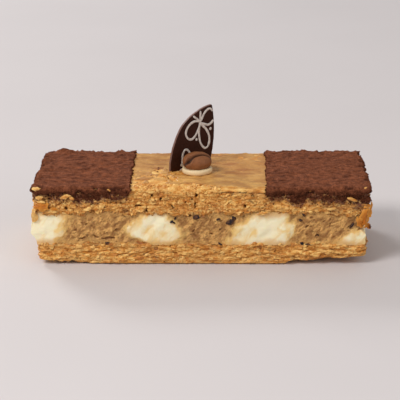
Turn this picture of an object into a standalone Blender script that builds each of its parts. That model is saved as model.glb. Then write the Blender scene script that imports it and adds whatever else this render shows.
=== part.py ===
"""A mille-feuille slice with coffee and vanilla cream.

Two sheets of flaky pastry hold seven bars of piped cream, which run through the slice from front to back.
A chocolate leaf stands in a slot in the top sheet, behind a white chocolate disc with a coffee bean on it.
+X runs along the slice, +Z is up, and the front faces -Y. The origin is the middle of the underside.
"""

import math
import random

import bmesh
import bpy
from mathutils import Matrix, Vector

MM = 0.001

# Whole slice
LENGTH = 115.0 * MM
DEPTH = 44.0 * MM
GAP = 0.3 * MM  # between neighbours that touch
SEAM = 0.45 * MM  # between two bars of cream, along X

# Bottom sheet
BASE_LENGTH = 111.8 * MM
BASE_HEIGHT = 7.3 * MM
LEFT_END_LIFT = 1.3 * MM
RIGHT_END_LIFT = 2.8 * MM
FLAT_LENGTH = 84.0 * MM  # of the underside, between the lifted ends
FLAT_MIDDLE = -4.5 * MM

# Cream
CREAM_TOP = 18.7 * MM
CREAM_BULGE = 0.35 * MM
CREAM_RIM = 0.5 * MM  # rounding where a bar meets the cut faces
LOW_WEDGE_TOP = 12.3 * MM  # the last vanilla bar is only a low wedge

# Top sheet
TOP_HEIGHT = 27.3 * MM
COCOA_RISE = 0.5 * MM
COCOA_LEFT_EDGE = -24.5 * MM
COCOA_RIGHT_EDGE = 22.5 * MM
SHEET_CORNER = 3.4 * MM

# Flaky layers of each sheet, from its underside up: share of the height, and how far in they end, in mm
LAYER_ROUGHNESS = 0.38 * MM
BASE_LAYERS = ((0.0, 0.7), (0.18, 0.0), (0.34, 0.8), (0.50, 0.0), (0.66, 0.8), (0.82, 0.1), (0.94, 0.6))
TOP_LAYERS = (
    (0.04, 0.9),
    (0.16, 0.1),
    (0.30, 0.8),
    (0.44, -0.1),
    (0.58, 0.8),
    (0.72, -0.1),
    (0.87, 0.4),
    (1.0, 0.0),
)

# Points round a sheet: each long side, each short side and each corner
LONG_STEPS = 34
SHORT_STEPS = 12
CORNER_STEPS = 3

# Chocolate leaf, in its own plane: along its foot and upwards from the top of the slice
LEAF_FOOT = Vector((-11.1, -1.9)) * MM
LEAF_TURN = math.radians(33.0)
LEAF_THICKNESS = 1.8 * MM
LEAF_TIP = Vector((17.5, 22.3)) * MM
LEAF_BACK_ARC = (21.1 * MM, 0.2 * MM, 20.7 * MM, 22.4 * MM)  # centre and half axes of the long curved edge
LEAF_FRONT_BULGE = 1.5 * MM
LEAF_FRONT_FOOT = 16.2 * MM
LEAF_SUNK = 4.5 * MM
LEAF_BEVEL = 0.25 * MM

# White chocolate disc and coffee bean
DISC_CENTRE = Vector((-1.5, -2.5)) * MM
DISC_RADIUS = 5.4 * MM
DISC_HEIGHT = 1.7 * MM
BEAN_LENGTH = 10.3 * MM
BEAN_WIDTH = 7.8 * MM
BEAN_HEIGHT = 6.4 * MM
BEAN_SUNK = 0.9 * MM
BEAN_TURN = math.radians(14.0)
BEAN_ROLL = math.radians(20.0)
CREASE_DEPTH = 0.6 * MM
CREASE_WIDTH = 0.45 * MM
CREASE_SWAY = 0.35 * MM

# Seams between the bars of cream: the place along the slice, in mm, at even heights from the bottom
# sheet up to the top sheet
SEAMS = {
    "left_end": (-56.6, -58.0, -58.8, -59.0, -58.8, -58.2, -57.4),
    "vanilla_1_coffee_1": (-50.4, -49.3, -48.0, -47.2, -46.7, -46.3, -46.2),
    "coffee_1_vanilla_2": (-18.7, -22.6, -25.8, -27.0, -25.0, -22.2, -19.6),
    "vanilla_2_coffee_2": (-9.6, -6.8, -5.1, -6.6, -9.2, -11.3, -12.7),
    "coffee_2_vanilla_3": (7.9, 9.1, 10.4, 11.9, 13.8, 16.2, 19.2),
    "vanilla_3_coffee_3": (29.7, 30.6, 31.4, 31.6, 30.8, 30.0, 29.6),
    "coffee_3_right_end": (46.4, 48.2, 50.0, 51.9, 55.9, 56.4, 56.2),
}

# The same for the low wedge of vanilla cream, up to its own top
LOW_WEDGE_LEFT = (46.4, 47.2, 48.0, 48.8, 49.6, 50.4, 51.2)
LOW_WEDGE_RIGHT = (56.3, 56.8, 57.1, 57.2, 57.0, 56.6, 55.9)


def ripple(seed, length, shortest, longest, waves=6):
    """A smooth random curve of about unit height that repeats after the given length."""
    rng = random.Random(seed)
    counts = (math.ceil(length / longest), math.floor(length / shortest))
    terms = [(rng.randint(*counts), rng.uniform(0.0, math.tau)) for _ in range(waves)]

    def height(distance):
        turn = math.tau * distance / length
        return sum(math.sin(count * turn + phase) for count, phase in terms) / math.sqrt(waves)

    return height


def smooth_step(value, low, high):
    """0 below low, 1 above high, and a soft rise between them."""
    t = min(max((value - low) / (high - low), 0.0), 1.0)
    return t * t * (3.0 - 2.0 * t)


def material(name, colour, roughness):
    """A plain finish in the piece's own colour."""
    finish = bpy.data.materials.new(name)
    finish.use_nodes = True
    shader = finish.node_tree.nodes["Principled BSDF"]
    shader.inputs["Base Color"].default_value = (*colour, 1.0)
    shader.inputs["Roughness"].default_value = roughness
    shader.inputs["Metallic"].default_value = 0.0
    return finish


def make_object(name, shape, finish):
    """Turns a bmesh into a named object with one material."""
    bmesh.ops.recalc_face_normals(shape, faces=shape.faces)
    mesh = bpy.data.meshes.new(name)
    shape.to_mesh(mesh)
    shape.free()
    mesh.materials.append(finish)
    piece = bpy.data.objects.new(name, mesh)
    bpy.context.scene.collection.objects.link(piece)
    return piece


def loft(rings):
    """A closed body through rings of equally many points, capped at its first and last ring."""
    shape = bmesh.new()
    loops = [[shape.verts.new(point) for point in ring] for ring in rings]
    for lower, upper in zip(loops, loops[1:]):
        for i, corner in enumerate(lower):
            following = (i + 1) % len(lower)
            shape.faces.new((corner, lower[following], upper[following], upper[i]))
    shape.faces.new(loops[0])
    shape.faces.new(loops[-1])
    return shape


def sheet_outline(half_x, half_y, corner):
    """Points and outward directions round a rectangle with round corners, the same number at any size."""
    points = []
    straight_x = half_x - corner
    straight_y = half_y - corner
    sides = (
        (Vector((1, 0)), Vector((0, -1)), straight_x, half_y, LONG_STEPS),
        (Vector((0, 1)), Vector((1, 0)), straight_y, half_x, SHORT_STEPS),
        (Vector((-1, 0)), Vector((0, 1)), straight_x, half_y, LONG_STEPS),
        (Vector((0, -1)), Vector((-1, 0)), straight_y, half_x, SHORT_STEPS),
    )
    for along, outward, reach, distance, steps in sides:
        for i in range(steps):
            points.append((along * reach * (2.0 * i / steps - 1.0) + outward * distance, outward))
        middle = along * reach + outward * (distance - corner)
        for i in range(CORNER_STEPS):
            angle = 0.5 * math.pi * i / CORNER_STEPS
            direction = outward * math.cos(angle) + along * math.sin(angle)
            points.append((middle + direction * corner, direction))
    return points


def sheet_ring(half_x, half_y, height_at, rough=0.0, seed=0, shift_x=0.0):
    """One level of a pastry sheet: a rough outline, at the height that height_at gives for each point."""
    perimeter = 4.0 * (half_x + half_y)
    coarse = ripple(seed, perimeter, 14.0 * MM, 60.0 * MM)
    fine = ripple(seed + 1, perimeter, 6.5 * MM, 12.0 * MM)
    corner = min(SHEET_CORNER, 0.5 * min(half_x, half_y))
    outline = sheet_outline(half_x, half_y, corner)
    ring = []
    for i, (point, outward) in enumerate(outline):
        distance = perimeter * i / len(outline)
        spot = point + outward * rough * (0.6 * coarse(distance) + 0.6 * fine(distance))
        x = spot.x + shift_x
        ring.append(Vector((x, spot.y, height_at(x, spot.y))))
    return ring


def base_sheet(finish):
    """The bottom sheet: a flat underside that lifts towards both ends, and layered, uneven sides."""
    half_x = 0.5 * BASE_LENGTH
    half_y = 0.5 * DEPTH - 0.5 * MM
    wave = ripple(11, 2.0 * LENGTH, 18.0 * MM, 60.0 * MM)

    def lift(x):
        left = smooth_step(-x, half_x - 16.0 * MM, half_x) * LEFT_END_LIFT
        right = smooth_step(x, half_x - 26.0 * MM, half_x) * RIGHT_END_LIFT
        return left + right

    def layer(share):
        """The height of a layer at a share of the way from the underside to the cream."""
        swing = 0.35 * MM * math.sin(math.pi * share)

        def height_at(x, y):
            low = 0.7 * MM * (1.0 - share) + lift(x)
            return low + (BASE_HEIGHT - low) * share + swing * wave(x + y)

        return height_at

    rings = [
        sheet_ring(FLAT_LENGTH / 2.0, half_y - 3.2 * MM, lambda x, y: 0.0, shift_x=FLAT_MIDDLE),
        sheet_ring(half_x - 3.0 * MM, half_y - 1.6 * MM, lambda x, y: 0.25 * MM + lift(x)),
    ]
    for number, (share, inset) in enumerate(BASE_LAYERS):
        size = inset * MM
        rings.append(sheet_ring(half_x - size, half_y - size, layer(share), LAYER_ROUGHNESS, 20 + 2 * number))
    rings.append(sheet_ring(half_x - 2.0 * MM, half_y - 2.0 * MM, lambda x, y: BASE_HEIGHT))
    return make_object("base_pastry", loft(rings), finish)


def top_relief():
    """How far the top of the slice stands above its glaze: the cocoa ends, and waves away from the disc."""
    wave_x = ripple(3, 4.0 * LENGTH, 9.0 * MM, 40.0 * MM)
    wave_y = ripple(4, 4.0 * LENGTH, 9.0 * MM, 30.0 * MM)
    half_rise = 1.5 * MM

    def height(x, y):
        cocoa = smooth_step(-x, -COCOA_LEFT_EDGE - half_rise, -COCOA_LEFT_EDGE + half_rise)
        cocoa += smooth_step(x, COCOA_RIGHT_EDGE - half_rise, COCOA_RIGHT_EDGE + half_rise)
        waves = wave_x(x + 0.4 * y) * wave_y(y - 0.3 * x)
        away = smooth_step((Vector((x, y)) - DISC_CENTRE).length, DISC_RADIUS, DISC_RADIUS + 6.0 * MM)
        return COCOA_RISE * cocoa + (0.12 + 0.18 * cocoa) * MM * waves * away

    return height


def top_sheet(finish):
    """The top sheet: layered, uneven sides, cocoa ends a little higher than the glazed middle."""
    half_x = 0.5 * LENGTH
    half_y = 0.5 * DEPTH
    bottom = CREAM_TOP + GAP
    relief = top_relief()
    wave = ripple(12, 2.0 * LENGTH, 18.0 * MM, 60.0 * MM)

    def layer(share):
        """The height of a layer at a share of the way from the cream to the top."""
        swing = 0.4 * MM * math.sin(math.pi * share)

        def height_at(x, y):
            high = TOP_HEIGHT - 0.7 * MM + relief(x, y)
            return bottom + (high - bottom) * share + swing * wave(x - y)

        return height_at

    rings = [sheet_ring(half_x - 2.4 * MM, half_y - 2.0 * MM, lambda x, y: bottom)]
    for number, (share, inset) in enumerate(TOP_LAYERS):
        size = inset * MM
        rings.append(sheet_ring(half_x - size, half_y - size, layer(share), LAYER_ROUGHNESS, 50 + 2 * number))

    def surface(x, y):
        return TOP_HEIGHT + relief(x, y)

    for inset in (1.2, 4.6, 8.8, 13.6, 18.6, 21.0):
        rings.append(sheet_ring(half_x - inset * MM, half_y - inset * MM, surface))
    return make_object("top_pastry", loft(rings), finish)


def loop_inset(loop, distance):
    """A section's loop moved inwards by a distance."""
    moved = []
    for i, point in enumerate(loop):
        before = loop[i - 1]
        after = loop[(i + 1) % len(loop)]
        along = (after - before).normalized()
        moved.append(point + Vector((along.y, -along.x)) * distance)
    return moved


def loop_scaled(loop, scale):
    """A section's loop shrunk about its middle."""
    middle = sum(loop, Vector((0.0, 0.0))) / len(loop)
    return [middle + (point - middle) * scale for point in loop]


def cream_section(left, right, low, high, across=5):
    """The outline of a bar, clockwise from its lower left corner: up one seam, over, down the other, back."""
    rows = len(left)
    heights = [low + (high - low) * i / (rows - 1) for i in range(rows)]
    rising = [Vector((x, z)) for x, z in zip(left, heights)]
    falling = [Vector((x, z)) for x, z in zip(right, heights)][::-1]
    over = [rising[-1].lerp(falling[0], i / across) for i in range(1, across)]
    back = [falling[-1].lerp(rising[0], i / across) for i in range(1, across)]
    return rising + over + falling + back


def cream_bar(name, left, right, low, high, bulge, recess, finish, wander_ends=(True, True)):
    """A bar of cream that runs from the front cut to the back cut, with soft rims and swelling faces."""
    half_y = 0.5 * DEPTH - recess
    stations = (-half_y, -half_y + 2.0 * CREAM_RIM, -0.45 * half_y, 0.05 * half_y, 0.5 * half_y)
    stations += (half_y - 2.0 * CREAM_RIM, half_y)
    rings = []
    for y in stations:
        shift = 0.8 * MM * math.sin(2.4 * math.pi * y / DEPTH)
        left_here = [x * MM + 0.5 * SEAM + shift * wander_ends[0] for x in left]
        right_here = [x * MM - 0.5 * SEAM + shift * wander_ends[1] for x in right]
        loop = cream_section(left_here, right_here, low, high)
        side = -1.0 if y < 0.0 else 1.0
        ends = []
        if abs(y) == half_y:
            rim = loop_inset(loop, CREAM_RIM)
            ends = [(loop_scaled(rim, 0.5), y + side * bulge), (rim, y)]
        else:
            ends = [(loop, y)]
        if y > 0.0:
            ends.reverse()
        rings += [[Vector((point.x, place, point.y)) for point in ring] for ring, place in ends]
    return make_object(name, loft(rings), finish)


def cream_bars(vanilla, coffee):
    """The seven bars, from left to right: six as high as the filling, then the low wedge of vanilla."""
    low = BASE_HEIGHT + GAP
    seams = list(SEAMS.values())
    names = (
        "vanilla_cream_1",
        "coffee_cream_1",
        "vanilla_cream_2",
        "coffee_cream_2",
        "vanilla_cream_3",
        "coffee_cream_3",
    )
    for number, name in enumerate(names):
        is_vanilla = name.startswith("vanilla")
        cream_bar(
            name,
            seams[number],
            seams[number + 1],
            low,
            CREAM_TOP,
            bulge=(2.0 if is_vanilla else 0.6) * CREAM_BULGE,
            recess=(0.4 if is_vanilla else 0.9) * MM,
            finish=vanilla if is_vanilla else coffee,
            wander_ends=(number > 0, number < len(names) - 1),
        )
    cream_bar(
        "vanilla_cream_4",
        LOW_WEDGE_LEFT,
        LOW_WEDGE_RIGHT,
        low,
        LOW_WEDGE_TOP,
        bulge=CREAM_BULGE,
        recess=0.4 * MM,
        finish=vanilla,
        wander_ends=(False, False),
    )


def leaf_outline():
    """The leaf in its own plane: a long curved edge up to the tip, and a fuller front edge back down."""
    centre_x, centre_z, half_width, half_height = LEAF_BACK_ARC
    steps = 12
    tip_angle = math.acos((centre_x - LEAF_TIP.x) / half_width)
    points = [Vector((centre_x - half_width, -LEAF_SUNK))]
    for i in range(steps):
        angle = tip_angle * i / steps
        points.append(
            Vector((centre_x - half_width * math.cos(angle), centre_z + half_height * math.sin(angle)))
        )
    foot = Vector((LEAF_FRONT_FOOT, 0.0))
    for i in range(steps + 1):
        share = i / steps
        straight = LEAF_TIP.lerp(foot, share)
        points.append(straight + Vector((4.0 * LEAF_FRONT_BULGE * share * (1.0 - share), 0.0)))
    points.append(Vector((LEAF_FRONT_FOOT - 1.0 * MM, -LEAF_SUNK)))
    return points


def leaf_place():
    """Where the leaf's foot line starts and how it is turned."""
    return Matrix.Translation((LEAF_FOOT.x, LEAF_FOOT.y, TOP_HEIGHT)) @ Matrix.Rotation(LEAF_TURN, 4, "Z")


def chocolate_leaf(finish):
    """A flat leaf of dark chocolate with softened edges, standing upright in its slot."""
    outline = leaf_outline()
    half = 0.5 * LEAF_THICKNESS
    middle = sum(outline, Vector((0.0, 0.0))) / len(outline)
    rings = []
    flat = half - LEAF_BEVEL
    for y, inset in ((-half, LEAF_BEVEL), (-flat, 0.0), (flat, 0.0), (half, LEAF_BEVEL)):
        ring = []
        for point in outline:
            moved = point + (middle - point).normalized() * inset
            ring.append(Vector((moved.x, y + half, moved.y)))
        rings.append(ring)
    shape = loft(rings)
    shape.transform(leaf_place())
    return make_object("chocolate_leaf", shape, finish)


def hide_cutter(cutter):
    """Keeps a cutter out of the model and shows it only as wires."""
    cutter.hide_render = True
    cutter.display_type = "WIRE"


def leaf_slot(top, finish):
    """Cuts the slot that the leaf stands in, with a small gap all round."""
    shape = bmesh.new()
    bmesh.ops.create_cube(shape, size=1.0)
    left = min(point.x for point in leaf_outline()) - GAP
    right = LEAF_FRONT_FOOT + GAP
    low = -LEAF_SUNK - GAP
    high = 3.0 * MM
    size = Vector((right - left, LEAF_THICKNESS + 2.0 * GAP, high - low))
    shape.transform(Matrix.Diagonal(size).to_4x4())
    shape.transform(Matrix.Translation((0.5 * (left + right), 0.5 * LEAF_THICKNESS, 0.5 * (low + high))))
    shape.transform(leaf_place())
    cutter = make_object("leaf_slot_cutter", shape, finish)
    hide_cutter(cutter)
    cut = top.modifiers.new("Leaf slot", "BOOLEAN")
    cut.operation = "DIFFERENCE"
    cut.object = cutter
    return cutter


def bean_shape(grow=0.0):
    """An egg-like bean, long along X, with a wavy crease along its upper side."""
    long_steps = 16
    round_steps = 24
    half = Vector((0.5 * BEAN_LENGTH + grow, 0.5 * BEAN_WIDTH + grow, 0.5 * BEAN_HEIGHT + grow))
    rings = []
    for i in range(1, long_steps):
        polar = math.pi * i / long_steps
        x = -half.x * math.cos(polar)
        girth = math.sin(polar) ** 0.85
        ring = []
        for k in range(round_steps):
            turn = math.tau * k / round_steps
            angle = turn - 0.35 * math.sin(2.0 * turn)
            y = half.y * girth * math.sin(angle)
            z = half.z * girth * math.cos(angle)
            if z > 0.0 and grow == 0.0:
                from_crease = y - CREASE_SWAY * math.sin(1.2 * math.pi * x / half.x)
                depth = CREASE_DEPTH * min(1.0, 1.2 * girth)
                z = 0.94 * z - depth * math.exp(-((from_crease / CREASE_WIDTH) ** 2))
            ring.append(Vector((x, y, z)))
        rings.append(ring)
    return loft(rings)


def bean_place():
    """The bean lies on the disc with its crease rolled a little towards the front."""
    centre_z = TOP_HEIGHT + GAP + DISC_HEIGHT - BEAN_SUNK + 0.5 * BEAN_HEIGHT
    place = Matrix.Translation((DISC_CENTRE.x, DISC_CENTRE.y, centre_z))
    return place @ Matrix.Rotation(BEAN_TURN, 4, "Z") @ Matrix.Rotation(BEAN_ROLL, 4, "X")


def coffee_bean(finish):
    """The coffee bean of milk chocolate."""
    shape = bean_shape()
    shape.transform(bean_place())
    return make_object("coffee_bean", shape, finish)


def chocolate_disc(finish):
    """A poured disc of white chocolate with a soft rim, and the hollow that the bean has pressed into it."""
    steps = 36
    uneven = ripple(7, math.tau, 0.9, 3.0, waves=3)
    profile = ((0.90, 0.0), (0.98, 0.22), (1.0, 0.5), (0.97, 0.8), (0.90, 1.0))
    rings = []
    for share, height in profile:
        ring = []
        for k in range(steps):
            angle = math.tau * k / steps
            radius = DISC_RADIUS * share * (1.0 - 0.012 + 0.012 * uneven(angle))
            x = DISC_CENTRE.x + radius * math.cos(angle)
            y = DISC_CENTRE.y + radius * math.sin(angle)
            ring.append(Vector((x, y, TOP_HEIGHT + GAP + DISC_HEIGHT * height)))
        rings.append(ring)
    disc = make_object("white_chocolate_disc", loft(rings), finish)
    print_of_bean = bean_shape(grow=GAP)
    print_of_bean.transform(bean_place())
    cutter = make_object("bean_print_cutter", print_of_bean, finish)
    hide_cutter(cutter)
    cut = disc.modifiers.new("Bean print", "BOOLEAN")
    cut.operation = "DIFFERENCE"
    cut.object = cutter
    return disc


def centre_on_origin():
    """Moves everything so that the origin is the middle of the underside of the whole slice."""
    pieces = [piece for piece in bpy.context.scene.objects if piece.type == "MESH"]
    corners = [vertex.co for piece in pieces if not piece.hide_render for vertex in piece.data.vertices]
    middle_x = 0.5 * (min(corner.x for corner in corners) + max(corner.x for corner in corners))
    middle_y = 0.5 * (min(corner.y for corner in corners) + max(corner.y for corner in corners))
    lowest = min(corner.z for corner in corners)
    for piece in pieces:
        piece.location = (-middle_x, -middle_y, -lowest)


def main():
    for old in list(bpy.data.objects):
        bpy.data.objects.remove(old, do_unlink=True)
    pastry = material("Puff pastry", (0.50, 0.25, 0.07), 0.75)
    vanilla = material("Vanilla cream", (0.86, 0.70, 0.40), 0.45)
    coffee = material("Coffee cream", (0.42, 0.21, 0.065), 0.7)
    dark = material("Dark chocolate", (0.022, 0.008, 0.004), 0.35)
    white = material("White chocolate", (0.78, 0.62, 0.38), 0.4)
    milk = material("Milk chocolate", (0.18, 0.075, 0.03), 0.35)
    base_sheet(pastry)
    cream_bars(vanilla, coffee)
    top = top_sheet(pastry)
    leaf_slot(top, pastry)
    chocolate_leaf(dark)
    chocolate_disc(white)
    coffee_bean(milk)
    centre_on_origin()


main()
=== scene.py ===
"""The looks of a mille-feuille slice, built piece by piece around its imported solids."""

import itertools
import math
from collections import namedtuple

import bmesh
import bpy
import numpy as np
from bpy.props import FloatProperty, FloatVectorProperty, PointerProperty
from bpy.types import Operator, Panel, PropertyGroup
from mathutils import Matrix, Vector


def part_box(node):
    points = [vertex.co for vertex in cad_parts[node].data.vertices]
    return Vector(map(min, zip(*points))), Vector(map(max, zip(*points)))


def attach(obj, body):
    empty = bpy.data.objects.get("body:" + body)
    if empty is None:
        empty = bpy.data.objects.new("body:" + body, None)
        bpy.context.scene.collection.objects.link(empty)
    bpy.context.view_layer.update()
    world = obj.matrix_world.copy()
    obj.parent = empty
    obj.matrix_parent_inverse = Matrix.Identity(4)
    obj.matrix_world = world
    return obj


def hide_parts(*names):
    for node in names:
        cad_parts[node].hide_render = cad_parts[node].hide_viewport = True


bl_info = {
    "name": "Mille-feuille slice",
    "version": (1, 0, 0),
    "blender": (4, 5, 0),
    "location": "3D View > Sidebar > Mille-feuille",
    "description": "Builds the flaky sheets, creams, cocoa, glaze and chocolate pieces of a mille-feuille slice",
    "category": "Object",
}

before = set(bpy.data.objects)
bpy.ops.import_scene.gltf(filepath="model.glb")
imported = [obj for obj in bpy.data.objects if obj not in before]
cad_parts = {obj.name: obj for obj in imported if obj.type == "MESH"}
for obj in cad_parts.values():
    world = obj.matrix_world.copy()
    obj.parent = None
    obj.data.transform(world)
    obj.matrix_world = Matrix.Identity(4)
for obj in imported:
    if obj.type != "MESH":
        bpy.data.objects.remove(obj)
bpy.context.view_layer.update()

MM = 0.001
LEAF_TURN = math.radians(33.0)
LEAF_THICKNESS = 1.8 * MM
LEAF_LEFTMOST = 0.4 * MM  # where the leaf's outline starts, along its foot


def leaf_foot():
    """The start of the leaf's foot line on top of the slice, worked out from the leaf's solid."""
    low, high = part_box("chocolate_leaf")
    x = low.x - LEAF_LEFTMOST * math.cos(LEAF_TURN) + LEAF_THICKNESS * math.sin(LEAF_TURN)
    y = low.y - LEAF_LEFTMOST * math.sin(LEAF_TURN)
    return Vector((x, y, 27.3 * MM))


LEAF_FOOT = leaf_foot()
# The slice's own middle line lies a little off the origin, which is the middle of its whole box
MIDDLE = Vector((LEAF_FOOT.x + 11.1 * MM, LEAF_FOOT.y + 1.9 * MM, 0.0))

# Sheets: half length, half depth, lowest and highest level
TOP_SHEET = (57.5 * MM, 22.0 * MM, 18.9 * MM, 27.3 * MM)
BASE_SHEET = (56.9 * MM, 21.7 * MM, 0.0, 7.4 * MM)
BASE_SHIFT = 0.4 * MM
CORNER = 2.0 * MM
RIM = 0.8 * MM
FINE = 0.27 * MM
COARSE = 0.46 * MM

# Hollows in the top sheet's front, sunk in and darkened with painted shade: x, z, width, height and lean, in mm and
# degrees
FRONT_HOLLOWS = (
    (-16.9, 25.4, 0.8, 2.6, 4.0),
    (-13.7, 23.6, 1.3, 1.3, 0.0),
    (-10.9, 27.0, 2.4, 0.6, -35.0),
    (-1.5, 25.3, 0.9, 1.8, -12.0),
    (-2.0, 21.8, 0.9, 2.2, -5.0),
    (-9.8, 21.2, 2.4, 0.7, -38.0),
    (-21.4, 21.5, 3.0, 0.8, 3.0),
    (15.1, 21.4, 1.9, 0.7, -32.0),
    (-26.6, 22.4, 2.4, 0.7, 8.0),
    (33.2, 24.7, 1.6, 0.7, 20.0),
    (-46.2, 20.7, 1.4, 0.8, -20.0),
    (51.0, 22.4, 1.5, 1.0, 60.0),
)

# The same in the coffee cream's front, sunk in and darkened with painted shade
CREAM_HOLLOWS = (
    (-32.2, 9.2, 5.2, 0.9, 6.0),
    (-36.2, 10.2, 2.4, 0.8, -20.0),
    (-39.6, 14.4, 1.8, 0.7, 30.0),
    (-43.4, 12.6, 1.2, 0.7, 40.0),
    (-41.0, 9.6, 2.2, 0.7, 10.0),
    (-29.4, 12.8, 1.3, 0.7, 45.0),
    (-2.6, 12.4, 1.4, 0.7, 50.0),
    (3.4, 11.2, 1.2, 0.7, 30.0),
    (6.6, 13.0, 1.0, 0.6, 20.0),
    (39.8, 10.7, 1.3, 0.8, 20.0),
    (36.4, 13.6, 1.6, 0.6, 50.0),
    (44.6, 14.8, 1.4, 0.6, 50.0),
)

# How each sheet flakes. wave: how far its layers wander; ragged: how uneven its cream side is; sag: how low that hangs
Flaky = namedtuple("Flaky", "seed layer wave shard_length splits holes ragged sag crust_crack hollows")
TOP_FLAKES = Flaky(210, 1.05 * MM, 1.3 * MM, 3.3 * MM, 1.0, 0.45, 1.1 * MM, 0.45 * MM, True, FRONT_HOLLOWS)
BASE_FLAKES = Flaky(340, 0.8 * MM, 0.9 * MM, 5.5 * MM, 0.5, 0.22, 0.8 * MM, -0.1 * MM, False, ())

COCOA_LEFT_EDGE = -24.5 * MM
COCOA_RIGHT_EDGE = 22.5 * MM

# Seams between the bars of cream, in mm along the slice, at even heights from the bottom sheet to the top
CREAM_LOW = 7.2 * MM
CREAM_HIGH = 19.1 * MM
WEDGE_HIGH = 12.4 * MM
LEFT_END = (-56.6, -58.0, -58.8, -59.0, -58.8, -58.2, -57.4)
VANILLA_1_COFFEE_1 = (-50.4, -49.3, -48.0, -47.2, -46.7, -46.3, -46.2)
COFFEE_1_VANILLA_2 = (-18.7, -22.6, -25.8, -27.0, -25.0, -22.2, -19.6)
VANILLA_2_COFFEE_2 = (-9.6, -7.4, -6.2, -7.2, -9.4, -11.3, -12.7)
COFFEE_2_VANILLA_3 = (7.9, 9.1, 10.4, 11.9, 13.8, 16.2, 19.2)
VANILLA_3_COFFEE_3 = (29.7, 30.6, 31.4, 31.6, 30.8, 30.0, 29.6)
RIGHT_END = (46.4, 48.4, 50.6, 54.9, 56.2, 56.5, 56.4)
WEDGE_LEFT = (46.4, 47.2, 48.0, 48.8, 49.6, 50.4, 51.2)
WEDGE_RIGHT = (56.3, 56.8, 57.1, 57.2, 57.0, 56.6, 55.9)
CREAM_RECESS = 0.6 * MM
SMEAR_SLANT = math.radians(52.0)
SEAM_OVERLAP = 0.7 * MM
VANILLA_BARS = (
    (LEFT_END, VANILLA_1_COFFEE_1, CREAM_HIGH),
    (COFFEE_1_VANILLA_2, VANILLA_2_COFFEE_2, CREAM_HIGH),
    (COFFEE_2_VANILLA_3, VANILLA_3_COFFEE_3, CREAM_HIGH),
    (WEDGE_LEFT, WEDGE_RIGHT, WEDGE_HIGH),
)
COFFEE_BARS = (
    (VANILLA_1_COFFEE_1, COFFEE_1_VANILLA_2, CREAM_HIGH),
    (VANILLA_2_COFFEE_2, COFFEE_2_VANILLA_3, CREAM_HIGH),
    (VANILLA_3_COFFEE_3, RIGHT_END, CREAM_HIGH),
)

# The leaf in its own plane, in mm along its foot and upwards: the long curved edge up to the tip
LEAF_BACK_EDGE = (
    (-0.1, -3.0),
    (-0.1, -0.9),
    (0.15, 3.3),
    (0.75, 6.3),
    (1.7, 9.4),
    (3.1, 12.7),
    (4.5, 15.1),
    (6.1, 17.0),
    (8.4, 18.8),
    (11.9, 20.7),
    (14.8, 21.8),
    (17.5, 22.35),
)
LEAF_FRONT_BULGE = 1.5 * MM
LEAF_FRONT_FOOT = 16.2 * MM
LEAF_PLATE = 1.15 * MM

BEAN_SIZE = (10.3 * MM, 7.8 * MM, 6.4 * MM)
BEAN_TURN = math.radians(14.0)
BEAN_ROLL = math.radians(27.0)
CREASE_DEPTH = 1.0 * MM
CREASE_WIDTH = 0.46 * MM
CREASE_SWAY = 0.3 * MM
CREASE_DROP = 1.7 * MM


def display(red, green, blue):
    """A colour given as it looks on a display, from 0 to 255, as the linear values that shaders take."""
    shares = (red / 255.0, green / 255.0, blue / 255.0)
    return tuple(((share + 0.055) / 1.055) ** 2.4 if share > 0.04045 else share / 12.92 for share in shares)


def colour_setting(name, description, shown):
    """A colour that a user can change."""
    return FloatVectorProperty(
        name=name, description=description, default=display(*shown), subtype="COLOR", min=0.0, max=1.0, size=3
    )


def length_setting(name, description, millimetres):
    """A length that a user can change."""
    return FloatProperty(
        name=name, description=description, default=millimetres * MM, unit="LENGTH", min=0.0, precision=5
    )


class PastrySettings(PropertyGroup):
    """Sizes and colours of the two flaky sheets."""

    shard_relief: length_setting("Shard relief", "How far the flaky shards stand in and out", 0.42)
    crack_depth: length_setting("Crack depth", "Depth of the cracks between shards", 0.5)
    hole_depth: length_setting("Hole depth", "Depth of the dark hollows in the cut sides", 1.5)
    smallest_flake: length_setting("Smallest flake", "Length of the smallest loose flake", 0.5)
    largest_flake: length_setting("Largest flake", "Length of the largest loose flake", 2.3)
    pale: colour_setting("Pale layers", "Colour of the palest layers", (254, 210, 126))
    golden: colour_setting("Golden layers", "Colour of most of the pastry", (220, 150, 60))
    toasted: colour_setting("Toasted layers", "Colour of the well baked layers", (172, 96, 30))
    caramel: colour_setting("Caramel", "Colour of the caramelised flakes", (196, 112, 26))
    burnt: colour_setting("Burnt", "Colour of the burnt tips", (58, 26, 10))
    dust: colour_setting("Cocoa dust", "Colour of the pastry under cocoa dust", (112, 64, 38))
    # Deep brown: the pastry's own dark flecks, and painted shade in its cracks, hollows and along its cream side
    deep: colour_setting("Deep brown", "Colour inside cracks and hollows", (112, 58, 20))


class CreamSettings(PropertyGroup):
    """Colours of the two creams."""

    vanilla: colour_setting("Vanilla", "Main colour of the vanilla cream", (255, 243, 206))
    custard: colour_setting("Custard streaks", "Colour of the yellow streaks in the vanilla cream", (242, 203, 124))
    coffee: colour_setting("Coffee", "Main colour of the coffee cream", (230, 178, 106))
    # Coffee pits: the coffee cream's own darker mottle, and painted shade in its pits and hollows
    coffee_brown_and_pit_shade: colour_setting("Coffee pits", "Colour of the pits in the coffee cream", (134, 84, 38))
    stain: colour_setting("Pastry stain", "Colour of the creams where they touch the pastry", (218, 168, 98))
    speck: colour_setting("Dark specks", "Colour of the dark specks in the filling", (34, 28, 34))


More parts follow.
